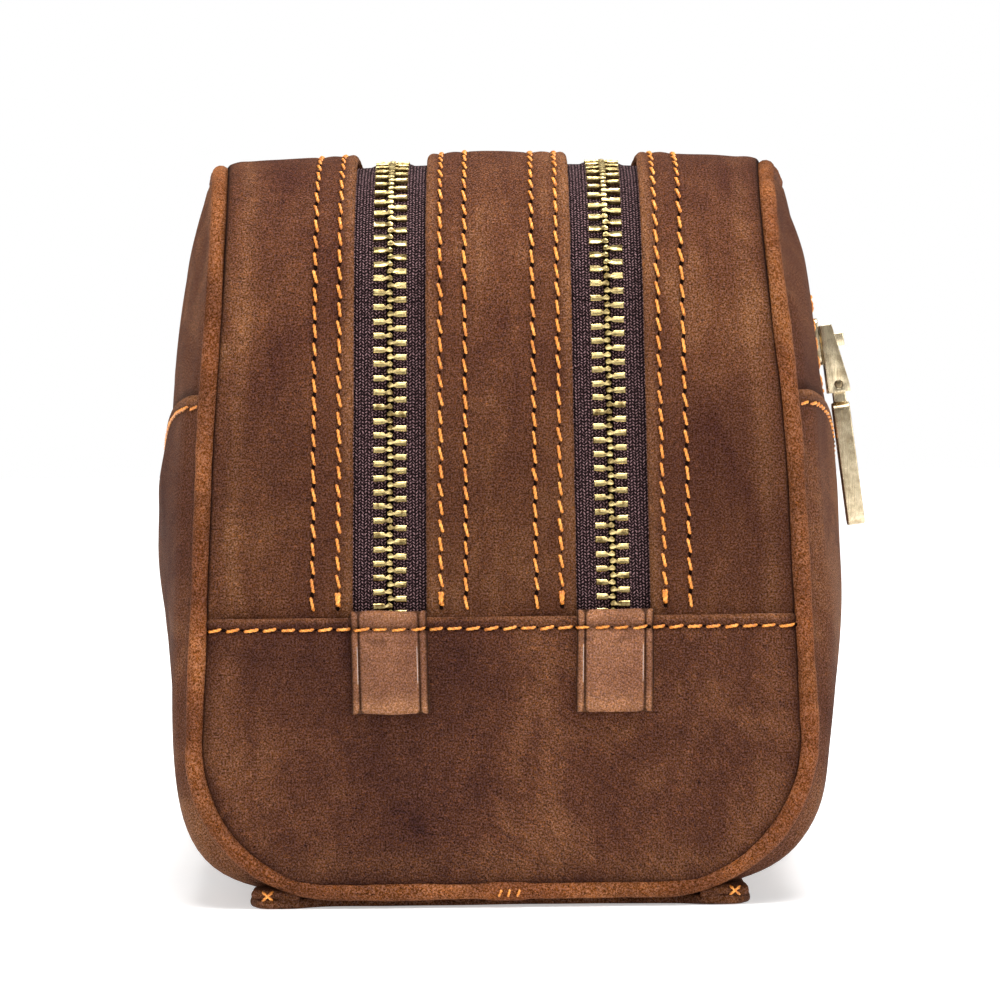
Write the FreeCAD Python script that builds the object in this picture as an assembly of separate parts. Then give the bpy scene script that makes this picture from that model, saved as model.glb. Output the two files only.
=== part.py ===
"""Shaving kit bag: a leather toiletry bag with two zips over the top and a zipped side pocket.

Millimetres. The origin is the middle of the flat base, +Z is up, +Y runs along the bag and
+X points to the side with the pocket. "near" is the -Y end, "far" the +Y end, "front" the
pocket side and "back" the other side.
"""
import FreeCAD, Part
import math
import os

V = FreeCAD.Vector

# The bag's outline
HALF_LENGTH = 117.6          # middle to the outside of an end panel
TOP = 135.8                  # height of the centre strip
CROWN_RADIUS = 568.0         # the top falls away to each side on this radius
END_CORNER = 27.0            # radius of the top corners in the side view
WRAP_BASE = 1.8              # height of the wrap's underside, on top of the base panel
BOTTOM_CORNER = 24.0         # radius where the sides turn under the bag
BULGE_LENGTH = 120.0         # the sides bulge between these stations
BULGE_POWER = 5              # a high power gives long flat sides with quick ends
SECTION_HEIGHTS = (34.0, 58.0, 90.0, 120.0, 145.0)
END_HALF_WIDTHS = (56.2, 55.0, 53.4, 51.0, 49.0)
MID_HALF_WIDTHS = (62.7, 64.2, 62.2, 58.0, 51.5)
SECTION_STATIONS = (-124.0, -104.0, -60.0, 0.0, 60.0, 104.0, 124.0)
FAR_OUT = 150.0              # past every side of the bag

# Leather
WRAP_THICK = 2.4             # the lower panels, to the wrap's inner face
UPPER_STEP = 0.8             # the lower panels stand this much proud of the upper ones
BAND_THICK = 2.0
EDGE_INSET = 2.2             # the wrap stops this far inside the ends and the top
BAND_SIDE_INSET = 2.6        # the band lies between the wrap's edges
JOINT_GAP = 0.1
PANEL_TOP = 52.0             # top edge of the end panels
SEAM_END = 92.5              # height of the side seam at the ends of the bag
SEAM_MID = 70.0              # and at mid-length, where it dips
BASE_HALF_WIDTH = 45.0
BASE_HALF_LENGTH = 113.0

# Piping round the two sides
PIPING_RADIUS = 1.8
PIPING_INSET = 1.2

# Main zips
ZIP_X = 19.5                 # from the middle of the bag to each zip
WINDOW_HALF = 6.4            # half the gap in the leather over each zip
ZIP_DEPTH = 2.3              # middle of the tape, below the leather's surface
TAPE_THICK = 0.5
TAPE_HALF_WIDTH = 15.0
TAPE_BOTTOM = 40.0           # the tapes end behind the end panels
TOOTH_PITCH = 2.54
TOOTH_LENGTH = 1.05          # along the zip
TOOTH_HEIGHT = 2.4
TOOTH_REACH = 0.55           # past the middle of the zip
TOOTH_HEEL = 2.9             # to the far end of a tooth
TEETH_BOTTOM = 53.5

# Mouth flaps: the middles of the two outer strips, which fold back when the bag is open
MOUTH_HALF_LENGTH = 76.0
MOUTH_HINGE_X = 48.5
MOUTH_GAP = 0.3

# Folded leather tabs over the zips' ends
TAB_WIDTH = 13.7
TAB_THICK = 2.4
TAB_BOTTOM = 34.7
TAB_TOP = 52.9

# Sliders and pullers, in a frame of their own: x across the zip, y along it, z out of it
SLIDER_HALF_WIDTH = 4.4
SLIDER_HALF_LENGTH = 6.0
PLATE_LOW = 1.35
PLATE_HIGH = 2.35
FLANGE_INSIDE = 3.6
FLANGE_END = 0.6
ARCH_LEG = 3.6               # middle of the slider to each leg of the bridge
ARCH_LEG_THICK = 1.0
ARCH_WIDTH = 2.4
ARCH_UNDER = 6.0
ARCH_TOP = 6.9
LINK_LEVEL = 3.7             # middle of the puller's eye, above the tape
LINK_START = -2.9            # along the puller, from the leg that it hangs on
LINK_END = 9.8
LINK_WIDTH = 6.4
LINK_THIN = 2.2
LINK_THICK = 4.1             # the link flares outward only, so its back is flat
PIN_AT = 8.3
PIN_LEVEL = 0.95             # middle of the thick end, above the middle of the eye
PIN_RADIUS = 0.75
PIN_HOLE = 0.8
FORK_START = 6.3
TONGUE_WIDTH = 2.2
BAR_START = 11.7
BAR_END = 34.6
BAR_WIDTH = 5.2
BAR_THICK = 3.2
MAIN_SLIDER_Y = 84.0         # the main sliders rest at the far end of the top

# Pocket
POCKET_X = 57.4
POCKET_Z = 100.6
POCKET_TILT = 7.0            # the zip leans in at the top, in degrees
POCKET_HALF_LENGTH = 75.0
POCKET_TAPE_HALF_WIDTH = 9.5
POCKET_TAPE_HALF_LENGTH = 78.0
POCKET_FACE = 2.2            # the leather's outer face, above the pocket's tape
POCKET_SLIDER_Y = -68.0

# Inside
DIVIDER_HALF = 0.8
LINING_THICK = 0.5
LINING_END_INSET = 4.0
FRONT_LINING_INSET = 10.0    # clear of the pocket
BACK_LINING_INSET = 4.0
LINING_TOP = 120.0
POUCH_OUTER = 3.0
POUCH_INNER = 4.6
POUCH_WALL = 0.4
POUCH_LOW = 36.0
POUCH_HIGH = 90.0


def box(x0, x1, y0, y1, z0, z1):
    """A box between two corners."""
    return Part.makeBox(x1 - x0, y1 - y0, z1 - z0, V(x0, y0, z0))


def bulge(y):
    """How far the sides stand out at a station, from 0 at the ends to 1 at mid-length."""
    return 1 - (abs(y) / BULGE_LENGTH) ** BULGE_POWER


def crown_drop(x):
    """How far the top has fallen at this distance from the middle."""
    return x * x / (2 * CROWN_RADIUS)


def seam_height(y):
    """Height of the lower panels' top edge along the bag."""
    share = (1 - math.cos(math.pi * y / HALF_LENGTH)) / 2
    return SEAM_MID + (SEAM_END - SEAM_MID) * share


def section(y, inset):
    """The closed outline of the bag's body at one station, inset from the outer face."""
    sides = [
        end + (mid - end) * bulge(y) - inset
        for end, mid in zip(END_HALF_WIDTHS, MID_HALF_WIDTHS)
    ]
    base = WRAP_BASE + inset
    radius = BOTTOM_CORNER - inset
    turn = sides[0] - radius
    low = [
        V(turn, y, base),
        V(turn + radius * math.sin(math.pi / 4), y, base + radius * (1 - math.cos(math.pi / 4))),
    ]
    right = low + [V(x, y, z) for x, z in zip(sides, SECTION_HEIGHTS)]
    left = [V(-p.x, p.y, p.z) for p in reversed(right)]
    right_curve = Part.BSplineCurve()
    right_curve.interpolate(right)
    left_curve = Part.BSplineCurve()
    left_curve.interpolate(left)
    edges = [
        Part.LineSegment(left[-1], right[0]).toShape(),
        right_curve.toShape(),
        Part.LineSegment(right[-1], left[0]).toShape(),
        left_curve.toShape(),
    ]
    return Part.Wire(edges)


def body(inset):
    """The bag's body as one long solid, inset from its outer face."""
    return Part.makeLoft([section(y, inset) for y in SECTION_STATIONS], True, False)


def envelope(inset):
    """The bag's side view carried across it, with the crowned top, inset from the outside."""
    length = HALF_LENGTH - inset
    radius = END_CORNER - inset
    top = TOP - inset
    slant = radius * (1 - math.sin(math.pi / 4))
    x = -FAR_OUT
    points = [V(x, -length, -20), V(x, -length, top - radius), V(x, -length + radius, top)]
    mirrored = [V(x, -p.y, p.z) for p in reversed(points)]
    near_corner = V(x, -length + slant, top - slant)
    far_corner = V(x, length - slant, top - slant)
    wire = Part.Wire([
        Part.LineSegment(points[0], points[1]).toShape(),
        Part.Arc(points[1], near_corner, points[2]).toShape(),
        Part.LineSegment(points[2], mirrored[0]).toShape(),
        Part.Arc(mirrored[0], far_corner, mirrored[1]).toShape(),
        Part.LineSegment(mirrored[1], mirrored[2]).toShape(),
        Part.LineSegment(mirrored[2], points[0]).toShape(),
    ])
    prism = Part.Face(wire).extrude(V(2 * FAR_OUT, 0, 0))
    crown = Part.makeCylinder(
        CROWN_RADIUS - inset, 2 * FAR_OUT, V(0, -FAR_OUT, TOP - CROWN_RADIUS), V(0, 1, 0)
    )
    return prism.common(crown)


def below_seam(gap):
    """Everything below the side seams, less a gap."""
    stations = [i * HALF_LENGTH / 6 for i in range(-7, 8)]
    top = Part.BSplineCurve()
    top.interpolate([V(-FAR_OUT, y, seam_height(y) - gap) for y in stations])
    start, end = top.StartPoint, top.EndPoint
    low_start, low_end = V(start.x, start.y, -20), V(end.x, end.y, -20)
    wire = Part.Wire([
        Part.LineSegment(low_start, start).toShape(),
        top.toShape(),
        Part.LineSegment(end, low_end).toShape(),
        Part.LineSegment(low_end, low_start).toShape(),
    ])
    return Part.Face(wire).extrude(V(2 * FAR_OUT, 0, 0))


def half(side, start=0.0):
    """The half of space on one side of the bag, from a distance out."""
    if side > 0:
        return box(start, FAR_OUT, -FAR_OUT, FAR_OUT, -20, 200)
    return box(-FAR_OUT, -start, -FAR_OUT, FAR_OUT, -20, 200)


def rounded_loop(points, radii):
    """A closed wire of straight runs joined by tangent arcs."""
    ends = []
    arcs = []
    for i, corner in enumerate(points):
        before = (points[i - 1] - corner).normalize()
        after = (points[(i + 1) % len(points)] - corner).normalize()
        opening = before.getAngle(after)
        reach = radii[i] / math.tan(opening / 2)
        start = corner + before * reach
        end = corner + after * reach
        middle_way = (before + after).normalize()
        middle = corner + middle_way * (radii[i] / math.sin(opening / 2) - radii[i])
        arcs.append(Part.Arc(start, middle, end).toShape())
        ends.append((start, end))
    edges = []
    for i, arc in enumerate(arcs):
        edges.append(arc)
        edges.append(Part.LineSegment(ends[i][1], ends[(i + 1) % len(ends)][0]).toShape())
    return Part.Wire(edges)


def piping_tube(radius):
    """The piping, which follows the seam between the wrap and the band round both ends."""
    end_y = HALF_LENGTH - 1.0
    base = WRAP_BASE + PIPING_INSET
    quarter = [
        (V(57.4, end_y, base), BOTTOM_CORNER - PIPING_INSET),
        (V(49.8, end_y, TOP - 3.2), END_CORNER - 1.0),
        (V(53.6, 75.0, TOP - 3.6), 300.0),
        (V(55.0, 25.0, TOP - 3.7), 300.0),
    ]
    corners = [(V(p.x, -p.y, p.z), r) for p, r in quarter]
    corners += reversed(quarter)
    corners += [(V(-p.x, p.y, p.z), r) for p, r in quarter]
    corners += [(V(-p.x, -p.y, p.z), r) for p, r in reversed(quarter)]
    path = rounded_loop([p for p, _ in corners], [r for _, r in corners])
    start = path.OrderedEdges[-1]
    at = start.valueAt(start.FirstParameter)
    way = start.tangentAt(start.FirstParameter)
    ring = Part.Wire(Part.Circle(at, way, radius).toShape())
    return path, ring


def sweep_piping(radius):
    """The piping as a solid of this radius."""
    path, ring = piping_tube(radius)
    return path.makePipeShell([ring], True, False)


def zip_station(s):
    """Place and turn of a zip at a distance along it from the middle of the top."""
    run = HALF_LENGTH - END_CORNER
    radius = END_CORNER - ZIP_DEPTH
    arc = radius * math.pi / 2
    side = 1 if s >= 0 else -1
    along = abs(s)
    if along <= run:
        return side * along, TOP - ZIP_DEPTH, 0.0
    if along <= run + arc:
        turn = (along - run) / radius
        y = run + radius * math.sin(turn)
        z = TOP - END_CORNER + radius * math.cos(turn)
        return side * y, z, -side * turn
    return side * (HALF_LENGTH - ZIP_DEPTH), TOP - END_CORNER - (along - run - arc), -side * math.pi / 2


def tooth(side, outward):
    """One tooth, lying across the zip towards its own row, in the zip's own frame."""
    shape = box(
        -TOOTH_REACH, TOOTH_HEEL, -TOOTH_LENGTH / 2, TOOTH_LENGTH / 2, -TOOTH_HEIGHT / 2, TOOTH_HEIGHT / 2
    )
    if side * outward < 0:
        shape = shape.mirror(V(0, 0, 0), V(1, 0, 0))
    return shape


def teeth_row(side, outward, wanted):
    """A row of a main zip: the outer row for outward 1, the inner one for -1."""
    span = HALF_LENGTH - END_CORNER + (END_CORNER - ZIP_DEPTH) * math.pi / 2
    span += TOP - END_CORNER - TEETH_BOTTOM
    count = int(span / TOOTH_PITCH)
    shift = 0.5 if outward > 0 else 0.0
    pieces = []
    for i in range(-count, count):
        y, z, turn = zip_station((i + shift) * TOOTH_PITCH)
        if not wanted(y, z):
            continue
        piece = tooth(side, outward)
        piece.rotate(V(0, 0, 0), V(1, 0, 0), math.degrees(turn))
        piece.translate(V(side * ZIP_X, y, z - crown_drop(ZIP_X) * math.cos(turn)))
        pieces.append(piece)
    return Part.makeCompound(pieces)


def plate(half_width, half_length, z0, z1):
    """A slider plate with rounded corners."""
    shape = box(-half_width, half_width, -half_length, half_length, z0, z1)
    upright = [e for e in shape.Edges if abs(e.BoundBox.ZLength - (z1 - z0)) < 1e-6]
    return shape.makeFillet(1.4, upright)


def slider():
    """A slider: two plates with flanges round the teeth, and a bridge for the puller."""
    top = plate(SLIDER_HALF_WIDTH, SLIDER_HALF_LENGTH, PLATE_LOW, PLATE_HIGH)
    bottom = plate(SLIDER_HALF_WIDTH, SLIDER_HALF_LENGTH, -PLATE_HIGH, -PLATE_LOW)
    reach = SLIDER_HALF_LENGTH - 1.4
    for side in (-1, 1):
        x0, x1 = sorted((side * FLANGE_INSIDE, side * SLIDER_HALF_WIDTH))
        top = top.fuse(box(x0, x1, -reach, reach, FLANGE_END, PLATE_LOW))
        bottom = bottom.fuse(box(x0, x1, -reach, reach, -PLATE_LOW, -FLANGE_END))
        leg = side * ARCH_LEG
        top = top.fuse(box(
            -ARCH_WIDTH / 2, ARCH_WIDTH / 2, leg - ARCH_LEG_THICK / 2, leg + ARCH_LEG_THICK / 2,
            PLATE_HIGH, ARCH_TOP,
        ))
    reach = ARCH_LEG + ARCH_LEG_THICK / 2
    bridge = box(-ARCH_WIDTH / 2, ARCH_WIDTH / 2, -reach, reach, ARCH_UNDER, ARCH_TOP)
    ends = [e for e in bridge.Edges if e.BoundBox.XLength > 1 and e.BoundBox.ZMin > ARCH_UNDER + 0.1]
    ends = [e for e in ends if e.BoundBox.YLength < 1e-6]
    bridge = bridge.makeFillet(0.7, ends)
    return Part.makeCompound([top.fuse(bridge).removeSplitter(), bottom.removeSplitter()])


def puller_link():
    """The puller's link: an eye round one leg of the bridge, flaring to a fork with a pin."""
    half = LINK_WIDTH / 2
    back = -LINK_THIN / 2
    face = LINK_THICK - LINK_THIN / 2
    outline = Part.makePolygon([
        V(LINK_START, -half, back),
        V(LINK_END, -half, back),
        V(LINK_END, -half, face),
        V(PIN_AT, -half, face),
        V(LINK_START, -half, -back),
        V(LINK_START, -half, back),
    ])
    shape = Part.Face(outline).extrude(V(0, LINK_WIDTH, 0))
    shape = shape.cut(box(-1.5, 4.4, -1.7, 1.7, -5, 5))
    shape = shape.cut(box(FORK_START, LINK_END + 1, -TONGUE_WIDTH / 2 - 0.1, TONGUE_WIDTH / 2 + 0.1, -5, 5))
    hole = Part.makeCylinder(PIN_HOLE, LINK_WIDTH + 2, V(PIN_AT, -half - 1, PIN_LEVEL), V(0, 1, 0))
    return shape.cut(hole)


def puller_pin():
    """The pin that the bar swings on."""
    return Part.makeCylinder(PIN_RADIUS, LINK_WIDTH, V(PIN_AT, -LINK_WIDTH / 2, PIN_LEVEL), V(0, 1, 0))


def puller_bar():
    """The bar that fingers hold, with a tongue that reaches into the link's fork."""
    half = BAR_WIDTH / 2
    mid = PIN_LEVEL
    grip = box(BAR_START, BAR_END, -half, half, mid - BAR_THICK / 2, mid + BAR_THICK / 2)
    corners = [e for e in grip.Edges if e.BoundBox.XLength < 1e-6 and e.BoundBox.YLength < 1e-6]
    grip = grip.makeFillet(1.5, corners)
    wide = TONGUE_WIDTH / 2
    eye = Part.makeCylinder(1.5, TONGUE_WIDTH, V(PIN_AT, -wide, mid), V(0, 1, 0))
    neck = box(PIN_AT, BAR_START + 0.5, -wide, wide, mid - 1.2, mid + 1.2)
    hole = Part.makeCylinder(PIN_HOLE, 2 * TONGUE_WIDTH, V(PIN_AT, -TONGUE_WIDTH, mid), V(0, 1, 0))
    return grip.fuse(neck).fuse(eye).cut(hole).removeSplitter()


def placed(shape, place, spin=0.0):
    """A copy turned about the zip's normal and put in place."""
    copy = shape.copy()
    copy.rotate(V(0, 0, 0), V(0, 0, 1), spin)
    copy.Placement = place.multiply(copy.Placement)
    return copy


def puller_set(name, place, leg, spin):
    """A slider with its link, pin and bar, named and placed."""
    hang = place.multiply(FreeCAD.Placement(V(0, leg, LINK_LEVEL), FreeCAD.Rotation()))
    return {
        name + "_slider": placed(slider(), place),
        name + "_puller_link": placed(puller_link(), hang, spin),
        name + "_puller_pin": placed(puller_pin(), hang, spin),
        name + "_puller_bar": placed(puller_bar(), hang, spin),
    }


def pocket_place(y):
    """Frame of the pocket's zip at a station: z out of the bag, y along it."""
    turn = FreeCAD.Rotation(V(0, 1, 0), 90 - POCKET_TILT)
    return FreeCAD.Placement(V(POCKET_X, y, POCKET_Z), turn)


def in_pocket_frame(shape):
    """A shape drawn in the pocket zip's frame, put in place."""
    return placed(shape, pocket_place(0.0))


def wrap_panels(piping):
    """The four side panels and the base panel."""
    edge = envelope(EDGE_INSET)
    inner = body(WRAP_THICK)
    lower = body(0.0).cut(inner).common(edge).common(below_seam(JOINT_GAP)).cut(piping)
    upper = body(UPPER_STEP).cut(inner).common(edge).cut(below_seam(0.0)).cut(piping)
    reach = FAR_OUT
    proud = in_pocket_frame(box(-30, 30, -reach, reach, POCKET_FACE, 40))
    long = POCKET_TAPE_HALF_LENGTH + JOINT_GAP
    wide = POCKET_TAPE_HALF_WIDTH + JOINT_GAP
    behind = in_pocket_frame(box(-wide, wide, -long, long, -12, TAPE_THICK / 2 + JOINT_GAP))
    window = in_pocket_frame(box(
        -WINDOW_HALF, WINDOW_HALF, -POCKET_HALF_LENGTH, POCKET_HALF_LENGTH, -12, 40
    ))
    front_upper = upper.common(half(1)).cut(proud).cut(behind).cut(window)
    base = box(-BASE_HALF_WIDTH, BASE_HALF_WIDTH, -BASE_HALF_LENGTH, BASE_HALF_LENGTH, 0, WRAP_BASE - 0.05)
    corners = [e for e in base.Edges if e.BoundBox.ZLength > 1]
    return {
        "front_upper_panel": front_upper,
        "back_upper_panel": upper.common(half(-1)),
        "front_lower_panel": lower.common(half(1, JOINT_GAP / 2)),
        "back_lower_panel": lower.common(half(-1, JOINT_GAP / 2)),
        "base_panel": base.makeFillet(4.0, corners),
    }


def band_panels(piping):
    """The end panels, the centre strip, the two outer strips and their mouth flaps."""
    band = envelope(0.0).cut(envelope(BAND_THICK)).common(body(BAND_SIDE_INSET)).cut(piping)
    inner_edge = ZIP_X - WINDOW_HALF
    outer_edge = ZIP_X + WINDOW_HALF
    low = band.common(box(-FAR_OUT, FAR_OUT, -FAR_OUT, FAR_OUT, -20, PANEL_TOP - JOINT_GAP))
    high = band.common(box(-FAR_OUT, FAR_OUT, -FAR_OUT, FAR_OUT, PANEL_TOP, 200))
    parts = {
        "near_end_panel": low.common(box(-FAR_OUT, FAR_OUT, -FAR_OUT, 0, -20, 200)),
        "far_end_panel": low.common(box(-FAR_OUT, FAR_OUT, 0, FAR_OUT, -20, 200)),
        "centre_strip": high.common(box(-inner_edge, inner_edge, -FAR_OUT, FAR_OUT, -20, 200)),
    }
    mouth = MOUTH_HALF_LENGTH
    gap = MOUTH_GAP
    for name, side in (("front", 1), ("back", -1)):
        strip = high.common(half(side, outer_edge))
        x0, x1 = sorted((side * outer_edge, side * (MOUTH_HINGE_X - gap / 2)))
        parts[name + "_mouth_flap"] = strip.common(box(x0, x1, -mouth, mouth, 100, 200))
        x0, x1 = sorted((side * (outer_edge - 5), side * (MOUTH_HINGE_X + gap / 2)))
        parts[name + "_strip"] = strip.cut(box(x0, x1, -mouth - gap, mouth + gap, 100, 200))
    return parts


def main_zips():
    """Tapes and teeth of the two main zips, split where the mouth flaps end."""
    outside = envelope(ZIP_DEPTH - TAPE_THICK / 2)
    shell = outside.cut(envelope(ZIP_DEPTH + TAPE_THICK / 2)).common(body(BAND_SIDE_INSET))
    shell = shell.common(box(-FAR_OUT, FAR_OUT, -FAR_OUT, FAR_OUT, TAPE_BOTTOM, 200))
    mouth = MOUTH_HALF_LENGTH
    heel = TOOTH_HEEL + 0.05
    parts = {}
    for name, side in (("front", 1), ("back", -1)):
        x0, x1 = sorted((side * (ZIP_X - TAPE_HALF_WIDTH), side * (ZIP_X - heel)))
        parts[name + "_zip_inner_tape"] = shell.common(box(x0, x1, -FAR_OUT, FAR_OUT, 0, 200))
        x0, x1 = sorted((side * (ZIP_X + heel), side * (ZIP_X + TAPE_HALF_WIDTH)))
        outer = shell.common(box(x0, x1, -FAR_OUT, FAR_OUT, 0, 200))
        parts[name + "_zip_mouth_tape"] = outer.common(box(x0, x1, -mouth, mouth, 100, 200))
        cut = mouth + MOUTH_GAP
        parts[name + "_zip_end_tapes"] = outer.cut(box(x0 - 1, x1 + 1, -cut, cut, 100, 200))

        def over_mouth(y, z):
            return z > 100 and abs(y) < mouth

        def past_mouth(y, z):
            return not over_mouth(y, z)

        parts[name + "_zip_inner_teeth"] = teeth_row(side, -1, lambda y, z: True)
        parts[name + "_zip_mouth_teeth"] = teeth_row(side, 1, over_mouth)
        parts[name + "_zip_end_teeth"] = teeth_row(side, 1, past_mouth)
    return parts


def pocket_zip():
    """Tapes, teeth and end stops of the pocket's zip."""
    parts = {}
    long = POCKET_TAPE_HALF_LENGTH
    count = int((POCKET_HALF_LENGTH - 3) / TOOTH_PITCH)
    for name, side in (("upper", -1), ("lower", 1)):
        x0, x1 = sorted((side * (TOOTH_HEEL + 0.05), side * POCKET_TAPE_HALF_WIDTH))
        tape = box(x0, x1, -long, long, -TAPE_THICK / 2, TAPE_THICK / 2)
        parts["pocket_zip_" + name + "_tape"] = in_pocket_frame(tape)
        shift = 0.5 if side > 0 else 0.0
        row = []
        for i in range(-count, count):
            piece = tooth(side, 1)
            piece.translate(V(0, (i + shift) * TOOTH_PITCH, 0))
            row.append(in_pocket_frame(piece))
        parts["pocket_zip_" + name + "_teeth"] = Part.makeCompound(row)
    reach = POCKET_HALF_LENGTH + 0.5
    stops = [in_pocket_frame(box(-2.5, 2.5, end, end + 2, -1.1, 0.2)) for end in (-reach - 1, reach - 1)]
    parts["pocket_zip_stops"] = Part.makeCompound(stops)
    return parts


def tabs():
    """The folded leather tabs sewn over the four zip ends."""
    parts = {}
    near = -HALF_LENGTH - TAB_THICK - 0.05
    far = HALF_LENGTH + 0.05
    for end, start in (("near", near), ("far", far)):
        for name, side in (("front", 1), ("back", -1)):
            x = side * ZIP_X
            tab = box(
                x - TAB_WIDTH / 2, x + TAB_WIDTH / 2, start, start + TAB_THICK, TAB_BOTTOM, TAB_TOP
            )
            outer = start if end == "near" else start + TAB_THICK
            edges = [e for e in tab.Edges if abs(e.CenterOfMass.y - outer) < 1e-6]
            parts[end + "_" + name + "_tab"] = tab.makeFillet(0.9, edges)
    return parts


def inside():
    """The divider, the two linings and the pocket's pouch."""
    divider = envelope(BAND_THICK + 0.6).common(body(3.0))
    parts = {"divider": divider.common(box(-DIVIDER_HALF, DIVIDER_HALF, -FAR_OUT, FAR_OUT, 0, 200))}
    outer_end = envelope(LINING_END_INSET)
    inner_end = envelope(LINING_END_INSET + LINING_THICK)
    below = box(-FAR_OUT, FAR_OUT, -FAR_OUT, FAR_OUT, -20, LINING_TOP)
    gap = DIVIDER_HALF + 0.8
    for name, side, inset in (("front", 1, FRONT_LINING_INSET), ("back", -1, BACK_LINING_INSET)):
        outer = body(inset).common(outer_end).common(half(side, gap)).common(below)
        inner = body(inset + LINING_THICK).common(inner_end).common(half(side, gap + LINING_THICK))
        parts[name + "_lining"] = outer.cut(inner)
    pouch = body(POUCH_OUTER).cut(body(POUCH_INNER))
    space = body(POUCH_OUTER + POUCH_WALL).cut(body(POUCH_INNER - POUCH_WALL))
    long = POCKET_HALF_LENGTH
    wall = POUCH_WALL
    pouch = pouch.common(box(0, FAR_OUT, -long, long, POUCH_LOW, POUCH_HIGH))
    space = space.common(box(0, FAR_OUT, -long + wall, long - wall, POUCH_LOW + wall, POUCH_HIGH + 1))
    parts["pocket_lining"] = pouch.cut(space)
    return parts


def pullers():
    """The three sliders with their pullers."""
    level = TOP - crown_drop(ZIP_X) - ZIP_DEPTH
    parts = {}
    for name, side, spin in (("front", 1, 0.0), ("back", -1, 180.0)):
        place = FreeCAD.Placement(V(side * ZIP_X, MAIN_SLIDER_Y, level), FreeCAD.Rotation())
        parts.update(puller_set(name, place, ARCH_LEG, spin))
    parts.update(puller_set("pocket", pocket_place(POCKET_SLIDER_Y), -ARCH_LEG, 0.0))
    return parts


def make():
    """Every node of the bag."""
    room = sweep_piping(PIPING_RADIUS + 0.05)
    parts = {"piping": sweep_piping(PIPING_RADIUS)}
    for group in (
        wrap_panels(room), band_panels(room), main_zips(), pocket_zip(), tabs(), inside(), pullers()
    ):
        parts.update(group)
    return parts


def main():
    os.makedirs("parts", exist_ok=True)
    for name, shape in make().items():
        shape.exportStep("parts/" + name + ".step")
        solids = shape.Solids
        size = shape.BoundBox
        print(
            f"{name:24s} {len(solids):4d} solids {shape.Volume:10.1f} mm3",
            f"valid {shape.isValid()}",
            f"x {size.XMin:.1f} {size.XMax:.1f} y {size.YMin:.1f} {size.YMax:.1f}",
            f"z {size.ZMin:.1f} {size.ZMax:.1f}",
        )


main()
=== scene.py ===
"""Looks of the shaving kit bag: sewn leather, zips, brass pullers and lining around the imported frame."""
import math

import bmesh
import bpy
import numpy as np
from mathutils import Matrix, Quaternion, Vector


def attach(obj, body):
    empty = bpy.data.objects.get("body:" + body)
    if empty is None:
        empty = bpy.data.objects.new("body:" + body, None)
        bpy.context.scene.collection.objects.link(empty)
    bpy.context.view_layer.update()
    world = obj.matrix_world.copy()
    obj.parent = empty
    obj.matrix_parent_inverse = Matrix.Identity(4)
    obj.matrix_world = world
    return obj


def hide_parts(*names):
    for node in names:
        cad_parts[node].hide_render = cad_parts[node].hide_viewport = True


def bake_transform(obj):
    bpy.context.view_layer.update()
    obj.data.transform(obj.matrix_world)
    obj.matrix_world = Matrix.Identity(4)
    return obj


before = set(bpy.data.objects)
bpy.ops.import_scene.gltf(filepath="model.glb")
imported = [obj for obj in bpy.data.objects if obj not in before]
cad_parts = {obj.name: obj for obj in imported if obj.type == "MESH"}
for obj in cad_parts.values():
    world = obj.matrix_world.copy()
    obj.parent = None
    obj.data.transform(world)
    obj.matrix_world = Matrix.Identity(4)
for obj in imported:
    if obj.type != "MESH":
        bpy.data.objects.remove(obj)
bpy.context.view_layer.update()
scene = bpy.context.scene

# The bag's shape in millimetres, as in the CAD part
MM = 0.001
HALF_LENGTH, TOP, CROWN_RADIUS, END_CORNER = 117.6, 135.8, 568.0, 27.0
RUN = HALF_LENGTH - END_CORNER
ARC = END_CORNER * math.pi / 2
SHOULDER = TOP - END_CORNER
WRAP_BASE, BOTTOM_CORNER = 1.8, 24.0
SECTION_HEIGHTS = (34.0, 58.0, 90.0, 120.0, 145.0)
END_HALF_WIDTHS = (56.2, 55.0, 53.4, 51.0, 49.0)
MID_HALF_WIDTHS = (62.7, 64.2, 62.2, 58.0, 51.5)
WRAP_END, WRAP_CORNER, UPPER_STEP = 115.4, 24.8, 0.8
PANEL_TOP, SEAM_END, SEAM_MID = 52.0, 92.5, 70.0
ZIP_X, WINDOW_HALF, ZIP_DEPTH, TAPE_HALF, TAPE_BOTTOM = 19.5, 6.4, 2.3, 15.0, 40.0
TOOTH_PITCH, TEETH_BOTTOM = 2.54, 53.5
INNER_EDGE, OUTER_EDGE = ZIP_X - WINDOW_HALF, ZIP_X + WINDOW_HALF
TAB_X, TAB_HALF, TAB_CREASE, TAB_LOW = 20.1, 6.85, 5.35, 34.9
POCKET = np.array([57.4, 0.0, 100.6])
POCKET_LEAN = math.radians(7)
POCKET_ACROSS = np.array([math.sin(POCKET_LEAN), 0, -math.cos(POCKET_LEAN)])
POCKET_OUT = np.array([math.cos(POCKET_LEAN), 0, math.sin(POCKET_LEAN)])
POCKET_RISE = 0.9925         # height gained by a millimetre up the pocket's face
POCKET_HALF = 75.0
HINGE_X = 48.5
PITCH = 3.25                 # from stitch to stitch
ROWS = (2.6, 7.0)            # stitch rows, from the leather's edge beside a zip
CENTRE = np.array([0.0, 0.0, 68.0])
TUCK = 6.5                   # from a side panel's end to where it starts to draw in to the piping
ROUTE_STEP = 1.3             # between points of the piping's line
PIPING_RADIUS = 1.64
LEATHER, SIDE_LEATHER, UPPER_LEATHER, TAB_LEATHER = 2.0, 2.4, 1.6, 2.35      # thicknesses
BASE_LEATHER, CORNER_LEATHER = 1.68, 1.75
TAPE, LINING, DIVIDER, POUCH = 0.5, 0.5, 1.5, 0.35
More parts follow.
